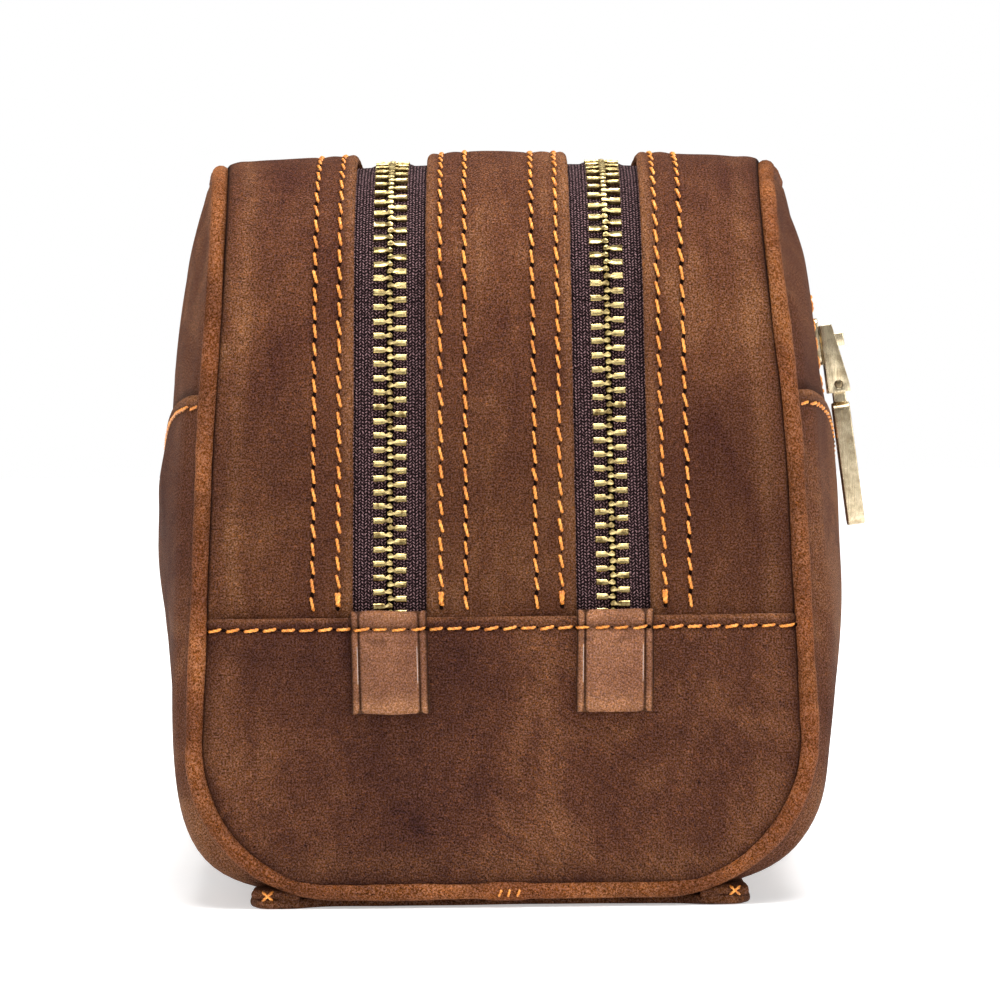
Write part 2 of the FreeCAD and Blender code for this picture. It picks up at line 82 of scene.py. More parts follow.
TAPE_START, TAPE_CORD, TAPE_WEAVE = 0.42, 3.3, 1.27      # across from the zip's middle, and along it
LINING_CORNER, LINING_END, LINING_SPAN = 23.0, 113.6, 110.0
DIVIDER_CORNER, DIVIDER_END = 24.0, 114.6
SIDES = (("front", 1), ("back", -1))
ENDS = (("near", -1), ("far", 1))


# Camera and set

def make_camera():
    data = bpy.data.cameras.new("camera")
    data.lens = 202
    data.sensor_width = 36
    camera = bpy.data.objects.new("camera", data)
    scene.collection.objects.link(camera)
    place = Vector((0, -1.1176, 0.090))
    target = Vector((-0.0001, -0.1176, 0.0728))
    camera.location = place
    camera.rotation_mode = "QUATERNION"
    lean = Quaternion((0, 0, 1), math.radians(-0.6))
    camera.rotation_quaternion = (target - place).to_track_quat("-Z", "Y") @ lean
    scene.camera = camera


def area_light(name, place, target, size, power):
    data = bpy.data.lights.new(name, "AREA")
    data.size = size
    data.energy = power
    light = bpy.data.objects.new(name, data)
    light.location = place
    light.rotation_mode = "QUATERNION"
    light.rotation_quaternion = (Vector(target) - Vector(place)).to_track_quat("-Z", "Y")
    scene.collection.objects.link(light)


make_camera()


# Materials

class Shader:
    """A material under construction."""

    def __init__(self, name):
        self.material = bpy.data.materials.new(name)
        self.material.use_nodes = True
        self.tree = self.material.node_tree
        self.tree.nodes.clear()
        self.out = self.tree.nodes.new("ShaderNodeOutputMaterial")
        self.surface = self.tree.nodes.new("ShaderNodeBsdfPrincipled")
        self.link(self.surface.outputs[0], self.out.inputs[0])

    def link(self, source, target):
        self.tree.links.new(source, target)

    def put(self, target, value):
        """Links a socket, or sets a constant."""
        if isinstance(value, bpy.types.NodeSocket):
            self.link(value, target)
        else:
            target.default_value = value

    def node(self, kind, inputs=(), output=0, **settings):
        made = self.tree.nodes.new(kind)
        for key, value in settings.items():
            setattr(made, key, value)
        for key, value in dict(inputs).items():
            self.put(made.inputs[key], value)
        return made.outputs[output]

    def math(self, operation, a, b=0.0, c=0.0):
        return self.node("ShaderNodeMath", {0: a, 1: b, 2: c}, operation=operation)

    def times(self, a, b):
        return self.math("MULTIPLY", a, b)

    def times_plus(self, a, b, c):
        return self.math("MULTIPLY_ADD", a, b, c)

    def scaled(self, vector, scale):
        return self.node("ShaderNodeVectorMath", {0: vector, 1: scale}, operation="MULTIPLY")

    def noise(self, vector, scale, detail=3.0, rough=0.55, distortion=0.0):
        inputs = {
            "Vector": vector, "Scale": scale, "Detail": detail, "Roughness": rough, "Distortion": distortion
        }
        return self.node("ShaderNodeTexNoise", inputs, normalize=True)

    def spread(self, value, low, high, start=0.0, end=1.0):
        inputs = {0: value, 1: low, 2: high, 3: start, 4: end}
        return self.node("ShaderNodeMapRange", inputs, interpolation_type="SMOOTHSTEP")

    def mix(self, share, a, b, blend="MIX"):
        made = self.tree.nodes.new("ShaderNodeMix")
        made.data_type = "RGBA"
        made.blend_type = blend
        self.put(made.inputs[0], share)
        for socket, value in ((made.inputs[6], a), (made.inputs[7], b)):
            self.put(socket, value if isinstance(value, bpy.types.NodeSocket) else (*value, 1))
        return made.outputs[2]

    def ramp(self, value, stops):
        made = self.tree.nodes.new("ShaderNodeValToRGB")
        self.link(value, made.inputs[0])
        elements = made.color_ramp.elements
        while len(elements) < len(stops):
            elements.new(0.5)
        for element, (place, colour) in zip(elements, stops):
            element.position = place
            element.color = (*colour, 1)
        return made.outputs[0]

    def attribute(self, name, output=2):
        return self.node("ShaderNodeAttribute", output=output, attribute_name=name)

    def finish(self, colour, rough, height=None, depth=0.0002, strength=0.6, **constants):
        sockets = self.surface.inputs
        self.put(sockets["Base Color"], colour if isinstance(colour, bpy.types.NodeSocket) else (*colour, 1))
        self.put(sockets["Roughness"], rough)
        if height is not None:
            inputs = {"Height": height, "Distance": depth, "Strength": strength}
            self.link(self.node("ShaderNodeBump", inputs), sockets["Normal"])
        for name, value in constants.items():
            sockets[name.replace("_", " ")].default_value = value
        return self.material


def leather(name, deep, middle, light, wrinkles=0.25, mottle=1.0, grained=0.9):
    """Waxed pull-up leather: mottled, fine grained and lighter on its bends; darker along its stitch rows, with
    painted shade in its seams, creases and lower parts and a painted highlight where the edge field passes 1.
    """
    s = Shader(name)
    rest = s.attribute("rest", 1)
    blotch = s.noise(rest, 0.019, 3.0, 0.5, 0.5)
    cloud = s.noise(s.scaled(rest, (1.0, 0.6, 0.75)), 0.075, 5.0, 0.62, 0.7)
    streak = s.noise(s.scaled(rest, (0.9, 0.16, 0.5)), 0.55, 4.0, 0.6, 0.5)
    tone = s.times(blotch, 0.46)
    tone = s.times_plus(cloud, 0.40, tone)
    tone = s.times_plus(streak, 0.14, tone)
    half = 0.165 / mottle
    colour = s.ramp(tone, (
        (0.5 - half, deep), (0.5 - half * 0.25, tuple(0.55 * a + 0.45 * b for a, b in zip(middle, deep))),
        (0.5 + half * 0.2, middle), (0.5 + half, light),
    ))
    worn = s.times(s.attribute("edge"), s.spread(cloud, 0.3, 0.62, 0.35, 1.0))
    colour = s.mix(worn, colour, tuple(min(1.0, 1.12 * c) for c in light))
    drift = s.noise(rest, 0.35, 2.0)
    lay = s.node("ShaderNodeVectorRotate", {
        "Vector": rest, "Axis": (0.35, 0.75, 0.55), "Angle": s.times(drift, 2.4),
    }, rotation_type="AXIS_ANGLE")
    fibre = s.noise(s.scaled(lay, (1.0, 0.40, 0.40)), 2.7, 1.5, 0.6, 0.3)
    speck = s.noise(rest, 3.1, 1.0, 0.6)
    fine = s.times_plus(fibre, 0.6, s.times(speck, 0.4))
    grain = s.ramp(fine, ((0.38, (0.10, 0.11, 0.24)), (0.49, (0.84, 0.86, 0.98)), (0.60, (2.6, 2.4, 1.9))))
    colour = s.mix(grained, colour, grain, "MULTIPLY")
    tint = s.ramp(speck, ((0.38, (1.12, 0.90, 0.40)), (0.5, (1.0, 1.0, 1.0)), (0.62, (0.90, 1.16, 2.3))))
    colour = s.mix(grained, colour, tint, "MULTIPLY")
    # Painted shade in seams, creases and lower parts, with darkening along stitch rows and random tone, taken
    # from a mesh field: it darkens the colour towards a near-black brown.
    soil_and_shade = s.times(s.attribute("soil_and_shade"), s.spread(cloud, 0.2, 0.6, 0.75, 1.0))
    colour = s.mix(soil_and_shade, colour, tuple(0.18 * c for c in deep))
    # Painted highlight: where the edge field passes 1.05, which happens only beside the tabs' creases, the
    # colour turns pale grey.
    colour = s.mix(s.spread(s.attribute("edge"), 1.05, 1.4), colour, (0.52, 0.47, 0.46))
    along = s.noise(s.scaled(rest, (0.12, 0.3, 1.1)), 1.0, 4.0, 0.6, 1.2)
    height = s.times_plus(along, wrinkles, fine)
    rough = s.spread(s.times_plus(cloud, 0.6, s.times(fine, 0.4)), 0.3, 0.7, 0.72, 0.56)
    return s.finish(colour, rough, height, 0.0003, 0.75, Specular_IOR_Level=0.04)


def woven_tape(name):
    """Zip tape: a dark purple-brown herringbone, with painted light on the crests of its threads and painted
    shade between them.
    """
    s = Shader(name)
    rest = s.attribute("rest", 1)
    parts = s.tree.nodes.new("ShaderNodeSeparateXYZ")
    s.link(rest, parts.inputs[0])
    across, along = parts.outputs[0], parts.outputs[1]
    sway = s.noise(rest, 0.9, 3.0)
    column = s.times_plus(across, 1.75, s.times(sway, 0.25))
    place = s.math("FRACT", column)
    side = s.times_plus(s.math("MODULO", s.math("FLOOR", column), 2.0), 2.0, -1.0)
    slope = s.times(side, place)
    phase = s.times_plus(along, 1.75, s.times(slope, 0.7))
    phase = s.math("ADD", phase, s.times(sway, 1.6))
    wave = s.math("SINE", s.times(phase, 2 * math.pi))
    swell = s.math("SINE", s.times(place, math.pi))
    thread = s.times(s.times_plus(wave, 0.5, 0.5), swell)
    fuzz = s.noise(rest, 2.6, 3.0)
    lit = s.times(thread, s.spread(fuzz, 0.34, 0.60, 0.35, 1.25))
    # Painted light and shade: the colour follows the threads' height, pale on their crests and near black
    # between them.
    colour = s.ramp(lit, (
        (0.12, (0.005, 0.002, 0.0025)), (0.40, (0.048, 0.021, 0.024)), (0.74, (0.290, 0.170, 0.180)),
    ))
    return s.finish(colour, 0.7, thread, 0.0003, 1.0, Specular_IOR_Level=0.08)


def thread_material(name):
    """Waxed orange thread, with painted light: lighter on top and on each strand's crest, and painted shade
    where it meets the leather.
    """
    s = Shader(name)
    rest = s.attribute("rest", 1)
    tone = s.noise(rest, 0.9, 3.0, 0.6)
    colour = s.ramp(tone, (
        (0.3, (0.40, 0.120, 0.012)), (0.52, (0.68, 0.245, 0.032)), (0.7, (0.90, 0.42, 0.09)),
    ))
    # Painted light and shade from the mesh field: lighter on top and on each strand's crest, past the thread's
    # own colour, and darker underneath.
    height = s.attribute("ply_light")
    shade = s.ramp(height, ((0.0, (0.12, 0.07, 0.05)), (0.45, (0.60, 0.50, 0.42)), (0.8, (1.25, 1.22, 1.20))))
    colour = s.mix(1.0, colour, shade, "MULTIPLY")
    return s.finish(colour, 0.34, s.noise(rest, 7.0, 2.0), 0.00008, 0.6, Specular_IOR_Level=0.5)


def plain_dark(name, colour):
    """Painted shade: the dark inside of a needle hole."""
    s = Shader(name)
    tone = s.noise(s.attribute("rest", 1), 2.0, 2.0)
    colour = s.mix(s.spread(tone, 0.3, 0.7), colour, tuple(2.2 * c for c in colour))
    return s.finish(colour, 1.0, Specular_IOR_Level=0.0)


def antique_brass(name, bright, dull, grain, rough=(0.2, 0.42), worn=0.0):
    """Brushed brass with a dark patina left in patches. grain stretches the brushing."""
    s = Shader(name)
    rest = s.attribute("rest", 1)
    brushed = s.noise(s.scaled(rest, grain), 1.0, 4.0, 0.65)
    patina = s.noise(rest, 0.45, 4.0, 0.6)
    share = s.times_plus(brushed, 0.45, s.times(patina, 0.55))
    middle = tuple(0.6 * a + 0.4 * b for a, b in zip(bright, dull))
    colour = s.ramp(share, ((0.40, dull), (0.49, middle), (0.58, bright)))
    if worn:
        soil_and_shade = s.attribute("soil_and_shade")
        colour = s.mix(s.times(soil_and_shade, worn), colour, tuple(0.16 * c for c in dull))
    gloss = s.spread(brushed, 0.3, 0.7, rough[1], rough[0])
    return s.finish(colour, gloss, brushed, 0.00002, 0.35, Metallic=1.0)


def cloth(name, deep, light):
    """Twill lining."""
    s = Shader(name)
    rest = s.attribute("rest", 1)
    parts = s.tree.nodes.new("ShaderNodeSeparateXYZ")
    s.link(rest, parts.inputs[0])
    ribs = s.math("ADD", s.math("ADD", parts.outputs[0], parts.outputs[1]), parts.outputs[2])
    wave = s.times_plus(s.math("SINE", s.times(ribs, 7.5)), 0.5, 0.5)
    cloud = s.noise(rest, 0.06, 4.0)
    colour = s.mix(s.times_plus(wave, 0.5, s.times(cloud, 0.5)), deep, light)
    return s.finish(colour, 0.78, wave, 0.00012, 0.5, Sheen_Weight=0.2)


MATERIALS = {
    "leather": leather("leather", (0.043, 0.0138, 0.0082), (0.097, 0.0360, 0.0148), (0.184, 0.079, 0.030)),
    "dark_leather": leather(
        "dark_leather", (0.027, 0.0092, 0.0064), (0.065, 0.0235, 0.0108), (0.134, 0.054, 0.0208), 0.6),
    "tab_leather": leather(
        "tab_leather", (0.098, 0.039, 0.021), (0.184, 0.080, 0.040), (0.270, 0.125, 0.057), 0.2, 0.9, 0.55),
    "piping_leather": leather(
        "piping_leather", (0.055, 0.018, 0.008), (0.145, 0.047, 0.015), (0.280, 0.104, 0.031)),
    "zip_tape": woven_tape("zip_tape"),
    "zip_teeth": antique_brass(
        "zip_teeth", (0.74, 0.58, 0.26), (0.15, 0.10, 0.035), (1.1, 1.1, 1.1), (0.22, 0.42), 0.95),
    "brass": antique_brass("brass", (0.74, 0.62, 0.42), (0.40, 0.31, 0.19), (9.0, 9.0, 0.22), (0.2, 0.34)),
    "pin_brass": antique_brass("pin_brass", (0.34, 0.26, 0.15), (0.14, 0.10, 0.06), (1.0, 1.0, 1.0)),
    "lining": cloth("lining", (0.030, 0.018, 0.012), (0.085, 0.052, 0.034)),
    "thread": thread_material("thread"),
    "needle_hole_shade": plain_dark("needle_hole_shade", (0.004, 0.002, 0.0015)),
}


# Mesh helpers

def smooth(t):
    t = np.clip(t, 0, 1)
    return t * t * (3 - 2 * t)


def floats(*values):
    """The values as arrays of one shape."""
    return np.broadcast_arrays(*(np.asarray(value, float) for value in values))


def grid_of(first, second):
    """The two coordinates of a grid: the first changes down it, the second across it."""
    return np.meshgrid(first, second, indexing="ij")


def run_length(points):
    """Distance along a line of points from its start."""
    return np.concatenate([[0], np.cumsum(np.linalg.norm(np.diff(points, axis=0), axis=1))])


def along_line(at, length, points):
    """Points on a line at these distances from its start."""
    return np.stack([np.interp(at, length, column) for column in points.T], 1)


def bump(d, width):
    """1 on a line and nothing away from it."""
    return np.exp(-(d / width) ** 2)


def wobble(points, size, seed, waves=10):
    """A smooth random field, about -1 to 1, whose features are this size."""
    draw = np.random.default_rng(seed)
    ways = draw.normal(size=(waves, 3))
    ways /= np.linalg.norm(ways, axis=1)[:, None]
    ways *= (2 * math.pi / size) * draw.uniform(0.55, 1.5, (waves, 1))
    phases = draw.uniform(0, 2 * math.pi, waves)
    return np.sin(np.asarray(points) @ ways.T + phases).sum(-1) / math.sqrt(waves / 2)


def unit(v):
    return v / np.maximum(np.linalg.norm(v, axis=-1, keepdims=True), 1e-9)


def build(name, points, faces, material, rest=None, fields=(), face_material=None, smooth_shading=True):
    """A mesh object from millimetre points, with its resting place kept for the materials."""
    mesh = bpy.data.meshes.new(name)
    mesh.from_pydata((np.asarray(points) * MM).tolist(), [], faces)
    rest = np.asarray(points if rest is None else rest, np.float32)
    mesh.attributes.new("rest", "FLOAT_VECTOR", "POINT").data.foreach_set("vector", rest.ravel())
    for key, values in dict(fields).items():
        mesh.attributes.new(key, "FLOAT", "POINT").data.foreach_set("value", np.asarray(values, np.float32))
    for one in [material] if isinstance(material, str) else material:
        mesh.materials.append(MATERIALS[one])
    if face_material is not None:
        mesh.polygons.foreach_set("material_index", face_material)
    mesh.polygons.foreach_set("use_smooth", [smooth_shading] * len(mesh.polygons))
    mesh.update()
    obj = bpy.data.objects.new(name, mesh)
    scene.collection.objects.link(obj)
    return obj


def edge_distance(grid, sides="abcd"):
    """Distance of each grid point from the chosen sides: a and b end the first way, c and d the second."""
    first = np.linalg.norm(np.diff(grid, axis=0), axis=2)
    second = np.linalg.norm(np.diff(grid, axis=1), axis=2)
    along = np.vstack([np.zeros(grid.shape[1]), np.cumsum(first, axis=0)])
    across = np.hstack([np.zeros((grid.shape[0], 1)), np.cumsum(second, axis=1)])
    found = {"a": along, "b": along[-1:] - along, "c": across, "d": across[:, -1:] - across}
    return np.min([found[s] for s in sides], axis=0)


def sheet(name, top, thick, material, keep=None, near_edge=None, flat=None, edge=None, soil_and_shade=None):
    """A sheet of real thickness with rounded edges, under a grid of points on its outer face."""
    nu, nv = top.shape[:2]
    normal = unit(np.cross(np.gradient(top, axis=0), np.gradient(top, axis=1)))
    flip = np.sum(normal * (top - CENTRE)) < 0
    if flip:
        normal = -normal
    keep = np.ones((nu - 1, nv - 1), bool) if keep is None else keep
    count = np.zeros((nu, nv), int)
    for i in (0, 1):
        for j in (0, 1):
            count[i:nu - 1 + i, j:nv - 1 + j] += keep
    distance = edge_distance(top) if near_edge is None else near_edge
    depth = thick * np.sqrt(1 - (1 - np.clip(distance / (thick / 2), 0, 1)) ** 2)
    depth[(count > 0) & (count < 4)] = 0
    outer = top - normal * ((thick - depth) / 2)[..., None]
    inner = top - normal * ((thick + depth) / 2)[..., None]
    used, doubled = count > 0, count == 4
    above = -np.ones((nu, nv), int)
    above[used] = np.arange(used.sum())
    below = above.copy()
    below[doubled] = used.sum() + np.arange(doubled.sum())
    i, j = np.nonzero(keep)
    corners = [(i, j), (i + 1, j), (i + 1, j + 1), (i, j + 1)]
    upper = np.stack([above[c] for c in corners], 1)
    lower = np.stack([below[c] for c in reversed(corners)], 1)
    if flip:
        upper, lower = upper[:, ::-1], lower[:, ::-1]
    points = np.vstack([outer[used], inner[doubled]])

    def both(values):
        return np.concatenate([values[used], values[doubled]])

    blank = np.zeros((nu, nv))
    fields = {"edge": both(blank if edge is None else edge), "soil_and_shade": both(blank if soil_and_shade is None else soil_and_shade)}
    rest = points if flat is None else both(flat)
    return build(name, points, np.vstack([upper, lower]).tolist(), material, rest, fields)


def lines(*runs):
    """Grid lines: each run is a start, an end and about how far apart its lines are."""
    made = []
    for start, end, step in runs:
        count = max(1, int(round(abs(end - start) / step)))
        made.extend(np.linspace(start, end, count + 1)[:-1])
    made.append(runs[-1][1])
    return np.array(made)


EDGE_LINES = (0.0, 0.08, 0.25, 0.5, 0.8, 1.2)


def edged(start, end, step):
    """Grid lines with close ones at both ends, where an edge is rounded."""
    way = 1 if end > start else -1
    low = [start + way * e for e in EDGE_LINES]
    high = [end - way * e for e in reversed(EDGE_LINES)]
    return np.concatenate([low[:-1], lines((low[-1], high[0], step)), high[1:]])


# Surfaces of the bag

def crown_drop(x):
    return x * x / (2 * CROWN_RADIUS)


def fan(s):
    """The zips spread apart down the ends, and draw together a little towards the near shoulder."""
    far = smooth((np.asarray(s, float) + 40) / 80)
    down = np.clip((np.abs(s) - RUN - 2) / 95, 0, 1)
    return 0.972 + 0.028 * far + (0.053 - 0.018 * far) * down


def band_point(s, x, inset=0.0):
    """A point on the band over the bag: s along it from the middle of the top, x across."""
    way = np.where(s < 0, -1.0, 1.0)
    far = np.abs(s)
    turn = np.clip((far - RUN) / END_CORNER, 0, math.pi / 2)
    down = np.maximum(far - RUN - ARC, 0)
    radius = END_CORNER - inset
    y = way * (np.minimum(far, RUN) + radius * np.sin(turn))
    z = SHOULDER + radius * np.cos(turn) - down - crown_drop(x) * np.cos(turn)
    return np.stack(np.broadcast_arrays(x * fan(s), y, z), -1)


def band_place(z):
    """How far along the band this height on its end is."""
    return RUN + ARC + SHOULDER - z


def rounded_loop(corners, radii):
    """Points round a closed loop of straight runs and arcs."""
    marks = []
    for i, corner in enumerate(corners):
        before = unit(corners[i - 1] - corner)
        after = unit(corners[(i + 1) % len(corners)] - corner)
        opening = math.acos(float(np.clip(before @ after, -1, 1)))
        reach = radii[i] / math.tan(opening / 2)
        middle = corner + unit(before + after) * radii[i] / math.sin(opening / 2)
        start, end = corner + before * reach - middle, corner + after * reach - middle
        sweep = math.pi - opening
        for t in np.linspace(0, 1, max(3, int(sweep * radii[i] / ROUTE_STEP))):
            share = (math.sin((1 - t) * sweep) * start + math.sin(t * sweep) * end) / math.sin(sweep)
            marks.append(middle + share)
    marks = np.array(marks + [marks[0]])
    length = run_length(marks)
    at = np.linspace(0, length[-1], int(length[-1] / ROUTE_STEP), endpoint=False)
    return along_line(at, length, marks)


def piping_route():
    """The line of the piping round the band. The front of the bag leans in a little more than the back."""
    end = HALF_LENGTH - 1.0
    front = [
        ((56.0, end, 3.2), BOTTOM_CORNER + 3.0), ((52.4, end, 86.0), 260.0),
        ((46.9, end, TOP - 3.2), END_CORNER - 1.0),
        ((50.2, 78.0, TOP - 3.5), 260.0), ((54.0, 25.0, TOP - 3.7), 300.0),
    ]
    back = [
        ((56.5, end, 3.0), BOTTOM_CORNER + 1.5), ((52.5, end, 86.0), 260.0),
        ((48.7, end, TOP - 3.2), END_CORNER - 1.0),
        ((51.4, 78.0, TOP - 3.5), 260.0), ((54.6, 25.0, TOP - 3.7), 300.0),
    ]
    corners = [((x, -y, z), r) for (x, y, z), r in front] + front[::-1]
    corners += [((-x, y, z), r) for (x, y, z), r in back]
    corners += [((-x, -y, z), r) for (x, y, z), r in reversed(back)]
    return rounded_loop([np.array(p) for p, _ in corners], [r for _, r in corners])


ROUTE = piping_route()


def piping_tables(side):
    """Beside the band, the piping's distance from the middle by place; round an end panel, by height."""
    near = ROUTE[(side * ROUTE[:, 0] > 30) & (ROUTE[:, 1] < 0.5) & (ROUTE[:, 2] > 25.9)]
    far, x, z = np.abs(near[:, 1]), np.abs(near[:, 0]), near[:, 2]
    turn = np.arctan2(np.maximum(far - RUN, 0), np.maximum(z - SHOULDER, 1e-6))
    s = np.where(z < SHOULDER, band_place(z), np.where(far < RUN, far, RUN + END_CORNER * turn))
    order = np.argsort(s)
    low = ROUTE[(side * ROUTE[:, 0] > 30) & (ROUTE[:, 1] < -115) & (ROUTE[:, 2] < 70)]
    low = low[np.argsort(low[:, 2])]
    return (s[order], x[order]), (low[:, 2], np.abs(low[:, 0]))


BESIDE = {side: piping_tables(side) for side in (-1, 1)}


def either(x, front, back):
    return np.where(x > 0, front, back)


def piping_x(s, side):
    """How far from the middle the piping runs beside the band."""
    return np.interp(np.abs(s), *BESIDE[side][0]) / fan(s)


def end_half_width(z, side):
    """How far from the middle the piping runs round an end panel."""
    return np.interp(z, *BESIDE[side][1])


def strip_surface(s, x):
    """The leather strips on the band, with their sunk stitch rows and soft unevenness."""
    s, x = floats(s, x)
    across = np.abs(x)
    d = np.where(across < ZIP_X, INNER_EDGE - across, across - OUTER_EDGE)
    e = either(x, piping_x(s, 1), piping_x(s, -1)) - across
    flat = np.stack([x, s, 0 * s], -1)
    inset = -0.55 * bump(s + RUN + 6, 30) * (across > ZIP_X)
    for row in ROWS:
        inset = inset + 0.24 * bump(d - row, 0.55) * (1 + 0.25 * np.cos(2 * math.pi * s / PITCH))
    inset = inset - 0.16 * bump(d - 4.8, 1.2) - 0.12 * bump(d - 1.3, 0.7)
    inset = inset + 1.5 * np.clip((2.4 - e) / 2.4, 0, 1.3) ** 2 - 0.25 * bump(e - 3.6, 1.6)
    inset = inset - 0.22 * wobble(flat, 42, 3) * smooth(d / 8) - 0.07 * wobble(flat, 11, 4)
    inset = inset + 0.75 * smooth((np.abs(s) - band_place(PANEL_TOP + 3.0)) / 3.5)
    return band_point(s, x, inset)


def end_surface(z, share, way):
    """An end panel: way is -1 at the near end, share runs from one side to the other."""
    z, share = floats(z, share)
    half = either(share, end_half_width(z, 1), end_half_width(z, -1))
    x = share * (half - 0.7)
    e = np.minimum((1 - np.abs(share)) * half, z - 3.0)
    flat = np.stack([x, 0 * x + way * 30, z], -1)
    proud = 0.15 - 1.5 * np.clip((2.6 - e) / 2.6, 0, 1) ** 2
    proud = proud + 0.30 * bump(z - PANEL_TOP + 0.6, 1.0) - 0.30 * bump(z - PANEL_TOP + 2.2, 0.6)
    proud = proud + 0.35 * bump(e - 5.5, 3.5) * smooth((PANEL_TOP - 4 - z) / 5)
    proud = proud + 0.22 * wobble(flat, 30, 11) * smooth(e / 8) + 0.07 * wobble(flat, 9, 12)
    proud = proud + 0.35 * smooth((PANEL_TOP - z) / 6) * smooth(e / 10)
    return np.stack([x, way * (HALF_LENGTH + proud), z], -1)


def natural_spline(t, values, at):
    """The natural cubic spline through values, as the CAD section is drawn."""
    n, h = len(t), np.diff(t)
    matrix, right = np.eye(n), np.zeros((n, values.shape[1]))
    slope = np.diff(values, axis=0) / h[:, None]
    for i in range(1, n - 1):
        matrix[i, i - 1:i + 2] = h[i - 1], 2 * (h[i - 1] + h[i]), h[i]
        right[i] = 6 * (slope[i] - slope[i - 1])
    m = np.linalg.solve(matrix, right)
    k = np.clip(np.searchsorted(t, at) - 1, 0, n - 2)
    u, w = (at - t[k])[:, None], h[k][:, None]
    linear = slope[k] - w * (2 * m[k] + m[k + 1]) / 6
    return values[k] + u * (linear + u * (m[k] / 2 + u * (m[k + 1] - m[k]) / (6 * w)))


STATIONS = np.arange(-118.0, 118.1, 2.0)
ROUND = np.arange(0.0, 205.0, 1.0)


def wall_tables():
    """The bag's cross-section at each station, as points a millimetre apart from the middle of its base."""
    xs, zs = [], []
    for y in STATIONS:
        share = 1 - (abs(y) / 120.0) ** 5
        sides = [a + (b - a) * share for a, b in zip(END_HALF_WIDTHS, MID_HALF_WIDTHS)]
        turn = sides[0] - BOTTOM_CORNER
        lift = BOTTOM_CORNER * math.sqrt(0.5)
        knots = [(turn, WRAP_BASE), (turn + lift, WRAP_BASE + BOTTOM_CORNER - lift)]
        knots = np.array(knots + list(zip(sides, SECTION_HEIGHTS)))
        t = run_length(knots)
        curve = natural_spline(t, knots, np.linspace(0, t[-1], 400))
        curve = np.vstack([[0.05, WRAP_BASE], curve])
        length = run_length(curve)
        xs.append(np.interp(ROUND, length, curve[:, 0]))
        zs.append(np.interp(ROUND, length, curve[:, 1]))
    return np.array(xs), np.array(zs)


WALL_X, WALL_Z = wall_tables()


def table_value(table, y, q):
    """Reads a table of stations and distances between its entries."""
    i = np.clip((y - STATIONS[0]) / 2.0, 0, len(STATIONS) - 1.001)
    j = np.clip(q, 0, len(ROUND) - 1.001)
    i0, j0 = i.astype(int), j.astype(int)
    fi, fj = i - i0, j - j0
    low = table[i0, j0] * (1 - fj) + table[i0, j0 + 1] * fj
    high = table[i0 + 1, j0] * (1 - fj) + table[i0 + 1, j0 + 1] * fj
    return low * (1 - fi) + high * fi


def wall_point(y, q, inset=0.0):
    """A point on the front wall: q is the distance up it from the middle of the base."""
    y, q = floats(y, q)
    x, z = table_value(WALL_X, y, q), table_value(WALL_Z, y, q)
    dx = table_value(WALL_X, y, q + 0.7) - table_value(WALL_X, y, q - 0.7)
    dz = table_value(WALL_Z, y, q + 0.7) - table_value(WALL_Z, y, q - 0.7)
    size = np.hypot(dx, dz)
    return np.stack([x - inset * dz / size, y, z + inset * dx / size], -1)


def wall_place(y, z):
    """The distance up the wall of a height, at each station."""
    y, z = floats(y, z)
    found = np.empty(y.shape)
    for at in np.ndindex(y.shape):
        i = min(max((y[at] - STATIONS[0]) / 2.0, 0), len(STATIONS) - 1.001)
        k = int(i)
        heights = WALL_Z[k] * (1 - i + k) + WALL_Z[k + 1] * (i - k)
        found[at] = np.interp(z[at], heights[30:], ROUND[30:])
    return found


def seam_height(y):
    return SEAM_MID + (SEAM_END - SEAM_MID) * (1 - np.cos(math.pi * y / HALF_LENGTH)) / 2


def wrap_top(y):
    """Height of the wrap's top edge along the bag."""
    turn = np.arcsin(np.clip((np.abs(y) - RUN) / WRAP_CORNER, 0, 1))
    return SHOULDER + (WRAP_CORNER - 2.2) * np.cos(turn)


PULL_PLACES = np.linspace(0, band_place(60.0), 150)


def pull_table(side):
    """The gap that would be left between a side panel's edge and the piping, along the band."""
    turn = np.clip((PULL_PLACES - RUN) / END_CORNER, 0, math.pi / 2)
    y = np.minimum(PULL_PLACES, RUN) + WRAP_CORNER * np.sin(turn)
    z = SHOULDER + WRAP_CORNER * np.cos(turn) - np.maximum(PULL_PLACES - RUN - ARC, 0)
    edge = wall_point(y, wall_place(y, z), UPPER_STEP)[:, 0]
    return np.maximum(edge - piping_x(PULL_PLACES, side) * fan(PULL_PLACES) - 1.3, 0)


PULLS = {side: pull_table(side) for side in (-1, 1)}


def edge_pull(y, z, side):
    """How far a side panel is drawn in towards the piping, less and less away from its edge."""
    over, out = np.maximum(z - SHOULDER, 0), np.maximum(np.abs(y) - RUN, 0)
    turned = RUN + END_CORNER * np.arctan2(out, over)
    s = np.where(over > 0, np.where(out > 0, turned, np.abs(y)), band_place(z))
    inside = WRAP_CORNER - np.hypot(over, out)
    return np.interp(s, PULL_PLACES, PULLS[side]) * smooth((18.0 - inside) / 18.0)


def tucked(made, end):
    """Draws a panel's end edge in to the piping beside it."""
    near = np.flatnonzero(end.ravel() < TUCK)
    loop = ROUTE[ROUTE[:, 1] < -HALF_LENGTH + 1.5][:, ::2]
    points = made.reshape(-1, 3)
    away = points[near][:, None, ::2] - loop[None]
    closest = np.linalg.norm(away, axis=2).argmin(1)
    away = away[np.arange(len(near)), closest]
    excess = np.maximum(np.linalg.norm(away, axis=1) - 1.1, 0) * smooth(1 - end.ravel()[near] / TUCK)
    points[near, ::2] -= unit(away) * excess[:, None]
    return points.reshape(made.shape)


